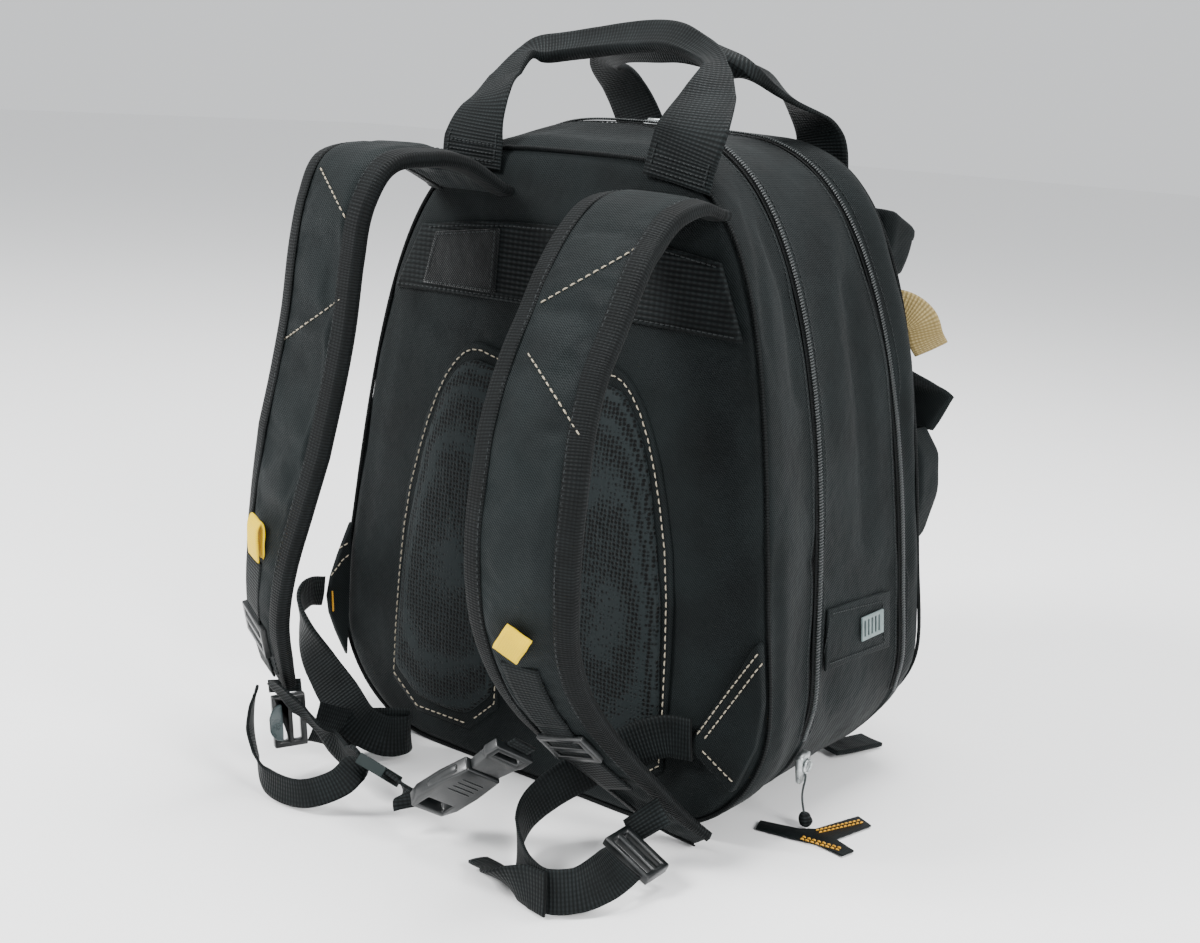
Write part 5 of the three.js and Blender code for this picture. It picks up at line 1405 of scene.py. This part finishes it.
def hardware():
    for side in ("left", "right"):
        row = LADDERS[side]
        local = frame_at(place_at(row), Vector(row["across"]), Vector(row["along"]))
        moulded(f"ladder_frame_{side}", f"ladder_lock_{side}", "plastic", 1.2)
        at, x, y, z = local
        points = []
        rings = 7
        for k in range(rings):
            share = k / (rings - 1)
            width = 13 * math.sqrt(max(0.02, 1 - (share * 0.96) ** 2.4))
            for i in range(9):
                across = (i / 4 - 1) * width
                crown = 1.6 * (1 - (i / 4 - 1) ** 2) * (1 - share * 0.5)
                points.append(at + x * across + y * (-5 - share * 9) + z * (3.4 + crown + 1.2 * share))
        tongue = make(f"ladder_tongue_{side}", points, grid_faces(rings, 9, False), "tongue")
        modify(tongue, "SOLIDIFY", thickness=1.8 * MM, offset=0)
        finer(tongue, 1)
        settle(tongue, "tongue")
    moulded("buckle_socket", "buckle_female", "plastic", 1.6)
    moulded("buckle_prongs", "buckle_male", "plastic", 1.4)
    female = place_at(dict(x=0.289, out=0.807, rise=0.402))
    male = place_at(dict(x=0.57, out=0.757, rise=0.648))
    along = (male - female).normalized()
    across = Vector((0.1, 0.78, -0.61))
    across = across - along * across.dot(along)
    for sense, word in ((1, "top"), (-1, "back")):
        local = frame_at(female, across, along)
        for k in range(4):
            level = 3 + 4 * k
            bar(f"buckle_rib_{word}_{k}", local, (-9, level), (9, level), 1.4, 1.0, "plastic", sense * 5.1)
    for k, edge in enumerate((-1, 1)):
        local = frame_at(female, across, along)
        bar(f"buckle_arm_{k}", local, (edge * 16.5, -6), (edge * 15.5, 18), 3.2, 7.5, "plastic")
    moulded("elastic_sleeve", "keeper", "elastic", 0.5)


# Place and normal on a strip's face, at a share of its half width
def on_face(s, share, lift):
    at = s["at"] + s["across"] * (share * s["width"] / 2) + s["normal"] * (s["thick"] / 2 + lift)
    return at, s["normal"]


def handles():
    for name, handle_rows in HANDLES.items():
        rows = [
            dict(
                at=Vector((
                    row["side"] * HANDLE_SPAN, BACK_Y + row["depth"] * BAG_DEPTH, row["rise"] * BAG_HEIGHT,
                )),
                facing=Vector(row["facing"]),
                width=row["width"] * HANDLE_WIDTH,
                thick=row["thick"] * HANDLE_THICK * (1 + 1.6 * max(0, 0.62 - row["width"]) / 0.34),
            )
            for row in handle_rows
        ]
        places = stations(rows, 10)
        piece = strip(f"{name}_webbing", places, "webbing", (name,), web_section(12), bend=0.8)
        crumple(piece, 0.8, 24, 12)
        for end, word in ((places[3:14], "a"), (places[-14:-3], "b")):
            for row, share in enumerate((-0.8, 0.8)):
                line = [on_face(s, share, 0.5) for s in end]
                stitches(f"{name}_box_{word}_{row}", line, "dark_thread", 3.4, 2.5, 0.4)
            for row, k in enumerate((0, 3, 6)):
                s = end[k] if word == "a" else end[-1 - k]
                line = [on_face(s, share / 10, 0.7) for share in range(-8, 9, 2)]
                stitches(f"{name}_bar_{word}_{row}", line, "dark_thread", 3.4, 2.5, 0.4)


PATCH_SEAM = [(831, 614), (882, 601), (884, 643), (823, 666), (830, 616)]


def side_trim():
    piece = moulded("side_patch_cloth", "side_patch", "cloth", 0.9)
    stitches("side_patch_stitch", seen_line(surface(piece), PATCH_SEAM), "dark_thread", 3.4, 2.5, 0.45)
    moulded("slotted_grey_plate", "slotted_plate", "grey", 0.35)


def front_y(z):
    return seam_depth(SEAMS["front"], z) + FRONT_CROWN + GAP


def pocket_ring(row, inset):
    width = row["half"] * BAG_WIDTH - inset
    z = row["rise"] * BAG_HEIGHT
    back = front_y(z) + inset
    front = front_y(z) + row["out"] - inset
    slope = 0.12 * row["out"]
    corners = [
        (-width + slope, back), (width - slope, back), (width, front - slope), (width * 0.88, front),
        (0, front + slope), (-width * 0.88, front), (-width, front - slope),
    ]
    ring = []
    for (x0, y0), (x1, y1) in zip(corners, corners[1:] + corners[:1]):
        for k in range(6):
            ring.append(Vector((x0 + (x1 - x0) * k / 6, y0 + (y1 - y0) * k / 6, z)))
    return ring


def pocket(name, node, levels, rim_drop):
    wall = 2.2
    rows = [levels[0]]
    for a, b in zip(levels, levels[1:]):
        rows += [{key: a[key] + (b[key] - a[key]) * (k + 1) / 3 for key in a} for k in range(3)]
    outer = [pocket_ring(row, 0) for row in rows]
    inner = [pocket_ring(row, wall) for row in reversed(rows)]
    for p in inner[-1]:
        p.z += wall
    rim = rows[-1]
    for ring in (outer[-1], outer[-2], inner[0], inner[1]):
        for p in ring:
            p.z -= rim_drop * (p.y - front_y(rim["rise"] * BAG_HEIGHT)) / rim["out"]
    rings = outer + inner
    count = len(rings[0])
    points = [p for ring in rings for p in ring]
    piece = make(name, points, capped(len(rings), count), "cloth", (node,))
    outward(piece)
    finer(piece, 1)
    crumple(piece, 1.6, 45, 13)
    crumple(piece, 0.6, 18, 14)
    hem = [(p + Vector((0, 0.7, -4)), Vector((0, 1, 0.1))) for p in outer[-1][12:36]]
    stitches(f"{name}_hem", hem, "light_thread", 5.0, 3.4, 0.5, 0.6)


def panel_strip(stops, width, thick, facing=None):
    rows = []
    for row in stops:
        z = row["rise"] * BAG_HEIGHT
        rows.append(dict(
            at=Vector((row.get("side", 0) * BAG_WIDTH, front_y(z) + row["out"], z)),
            facing=Vector(row.get("facing", facing)),
            width=row.get("wide", 1) * width,
            thick=thick,
        ))
    return stations(rows, 10)


def front_trim():
    pocket("upper_pocket_cloth", "upper_pocket", UPPER_POCKET, 17)
    pocket("lower_pocket_cloth", "lower_pocket", LOWER_POCKET, 0)
    rows = panel_strip(FLAP_ROWS, BAG_WIDTH, 2.5)
    flap = strip("flap_cloth", rows, "cloth", ("pocket_flap",), web_section(48))
    crumple(flap, 2.0, 40, 15)
    crumple(flap, 0.6, 16, 16)
    rows = panel_strip(LOOP_ROWS, 25, WEB_THICK, (-0.42, 0.9, 0))
    strip("khaki_webbing_loop", rows, "khaki", ("khaki_loop",), bend=0.5)
    rows = [
        dict(
            at=Vector((row["side"] * BAG_WIDTH, BACK_Y + row["depth"] * BAG_DEPTH, row["rise"])),
            facing=Vector((0, 0, 1)), width=21, thick=3,
        )
        for row in FOOT_ROWS
    ]
    strip("foot_tab_cloth", stations(rows, 8), "cloth", ("foot_tab",), bend=0.4)


def on_bag(side, depth, rise):
    return Vector((side * BAG_WIDTH, BACK_Y + depth * BAG_DEPTH, rise))


CORD_THICK = 1.5
CORD_ROUTE = [
    (0.4885, 0.266, 46), (0.4935, 0.268, 42), (0.493, 0.272, 37), (0.489, 0.279, 31), (0.4865, 0.286, 25),
    (0.4865, 0.294, 19), (0.488, 0.3, 14), (0.4895, 0.303, 10),
]
KNOT_ROWS = [
    (0.4935, 0.31, 2.9, 4), (0.4925, 0.309, 4.4, 5.6), (0.492, 0.308, 6, 6), (0.491, 0.306, 8.5, 5.6),
    (0.49, 0.304, 10.5, 4.6), (0.4885, 0.301, 12.5, 2.6),
]
STRIP_REACH = 46
STRIP_OUTLINE = [
    (-0.44, -0.36), (0.1, -0.26), (0.42, -0.16), (0.86, -0.24), (0.92, 0), (0.56, 0.14), (0.74, 0.88),
    (0.46, 1.02), (0.2, 0.22), (0.02, 0.06), (-0.52, -0.1),
]


def zip_pull():
    rows = [
        dict(
            at=on_bag(row["side"], row["depth"], row["rise"]), facing=Vector((1, 0, 0)),
            width=row["wide"] * 11, thick=row["thick"] * 5,
        )
        for row in SLIDER_ROWS
    ]
    strip("slider_body", stations(rows, 8), "metal", ("zip_slider_rear",), web_section(6))
    ring = [
        on_bag(0.4885, 0.262, 47) + Vector((3.4, 4.2 * math.sin(turn), 4.2 * math.cos(turn) + 1))
        for turn in (i * math.tau / 16 for i in range(16))
    ]
    tube("slider_ring", ring, 0.9, "metal", closed=True)
    knot_points = []
    for side, depth, rise, radius in KNOT_ROWS:
        for i in range(16):
            turn = i * math.tau / 16
            swell = 1 + 0.12 * math.sin(3 * turn + rise)
            turned = Vector((0.7 * math.cos(turn), math.sin(turn), 0))
            knot_points.append(on_bag(side, depth, rise) + turned * radius * swell)
    faces = capped(len(KNOT_ROWS), 16)
    flat = [(p.y, p.z) for p in knot_points]
    knot = make("cord_knot", knot_points, faces, "webbing", ("pull_knot",), flat)
    outward(knot)
    finer(knot, 1)

    middle = on_bag(0.485, 0.27, 1.6)
    corners = [(middle.x + x * STRIP_REACH, middle.y + y * STRIP_REACH) for x, y in STRIP_OUTLINE]
    points = [Vector((x, y, z)) for z in (0.8, 2.4) for x, y in corners]
    count = len(corners)
    flat = [(p.x, p.y) for p in points]
    tape = make("pull_tape", points, capped(2, count), "satin", ("pull_strip",), flat)
    outward(tape)
    modify(tape, "BEVEL", width=0.5 * MM, segments=2, angle_limit=0.5)
    settle(tape, "satin", ("pull_strip",))
    prongs = {"long": [(0.16, -0.2), (0.84, -0.12)], "short": [(0.26, 0.1), (0.6, 0.9)]}
    for word, ((x0, y0), (x1, y1)) in prongs.items():
        a = Vector((middle.x + x0 * STRIP_REACH, middle.y + y0 * STRIP_REACH, 2.5))
        b = Vector((middle.x + x1 * STRIP_REACH, middle.y + y1 * STRIP_REACH, 2.5))
        side = Vector((0, 0, 1)).cross((b - a).normalized())
        for k, mark in ((-1, "a"), (1, "b")):
            line = [(a.lerp(b, t / 8) + side * 1.6 * k, Vector((0, 0, 1))) for t in range(9)]
            stitches(f"pull_tape_stitch_{word}_{mark}", line, "gold_thread", 3.4, 2.6, 0.6, 0.1)

    line = [on_bag(*row) for row in CORD_ROUTE]
    smooth = [spline(line, k / 4) for k in range((len(line) - 1) * 4 + 1)]
    cord = tube("pull_cord_round", smooth, CORD_THICK / 2, "cord", ("pull_cord",), 8)
    z = 0.9605 * BAG_HEIGHT
    top = Vector((-0.12 * BAG_WIDTH, seam_depth(SEAMS["farZip"], z), z))
    moulded("slider_top_body", "zip_slider_front", "metal", 1.0)
    turns = [i * math.tau / 20 for i in range(20)]
    ring = [top + Vector((4 + 9 * math.cos(turn), 4.2 * math.sin(turn), 3.2)) for turn in turns]
    tube("slider_top_pull", ring, 0.9, "metal", closed=True)


def light(name, place, size, power, aim):
    data = bpy.data.lights.new(name, "AREA")
    data.energy = power
    data.size = size
    lamp = bpy.data.objects.new(name, data)
    lamp.location = place
    lamp.rotation_euler = (Vector(aim) - Vector(place)).to_track_quat("-Z", "Y").to_euler()
    scene.collection.objects.link(lamp)


def studio():
    mesh = bpy.data.meshes.new("floor")
    half = 12
    corners = [(-half, -half, 0), (half, -half, 0), (half, half, 0), (-half, half, 0)]
    mesh.from_pydata(corners, [], [(0, 1, 2, 3)])
    material = bpy.data.materials.new("floor")
    material.use_nodes = True
    shader = material.node_tree.nodes["Principled BSDF"]
    shader.inputs["Base Color"].default_value = (0.92, 0.92, 0.92, 1)
    shader.inputs["Roughness"].default_value = 0.9
    mesh.materials.append(material)
    floor = bpy.data.objects.new("floor", mesh)
    scene.collection.objects.link(floor)
    world = bpy.data.worlds.new("studio")
    world.use_nodes = True
    world.node_tree.nodes["Background"].inputs["Color"].default_value = (0.96, 0.98, 1.0, 1)
    world.node_tree.nodes["Background"].inputs["Strength"].default_value = 0.95
    scene.world = world
    light("key", (-1.2, -1.9, 1.9), 0.8, 120, (0, 0, 0.25))
    light("side", (2.0, -0.6, 1.3), 0.8, 60, (0, 0, 0.25))
    light("top", (0.1, 0.4, 2.2), 1.0, 60, (0, 0, 0.3))


make_camera()
SIDE_TREE = surface(gusset())
zip_pieces("zip_near", "zip_rear", SEAMS["nearZip"])
zip_pieces("zip_far", "zip_front", SEAMS["farZip"])
end_panel("back_cloth", "back_panel", SEAMS["rear"], -1, PANEL_CROWN, BACK_FOLDS)
end_panel("front_cloth", "front_panel", SEAMS["front"], 1, FRONT_CROWN, [])
welt("welt_rear", SEAMS["rear"], -0.2, 1.3)
welt("welt_front", SEAMS["front"], 0.2, 1.3)
back_band()
mesh_pad(-1, "mesh_pad_left")
mesh_pad(1, "mesh_pad_right")
wings()
for strap_side in ("left", "right"):
    strap(strap_side)
    strap_trim(strap_side)
hanging_webbing()
hardware()
handles()
side_trim()
front_trim()
zip_pull()
studio()
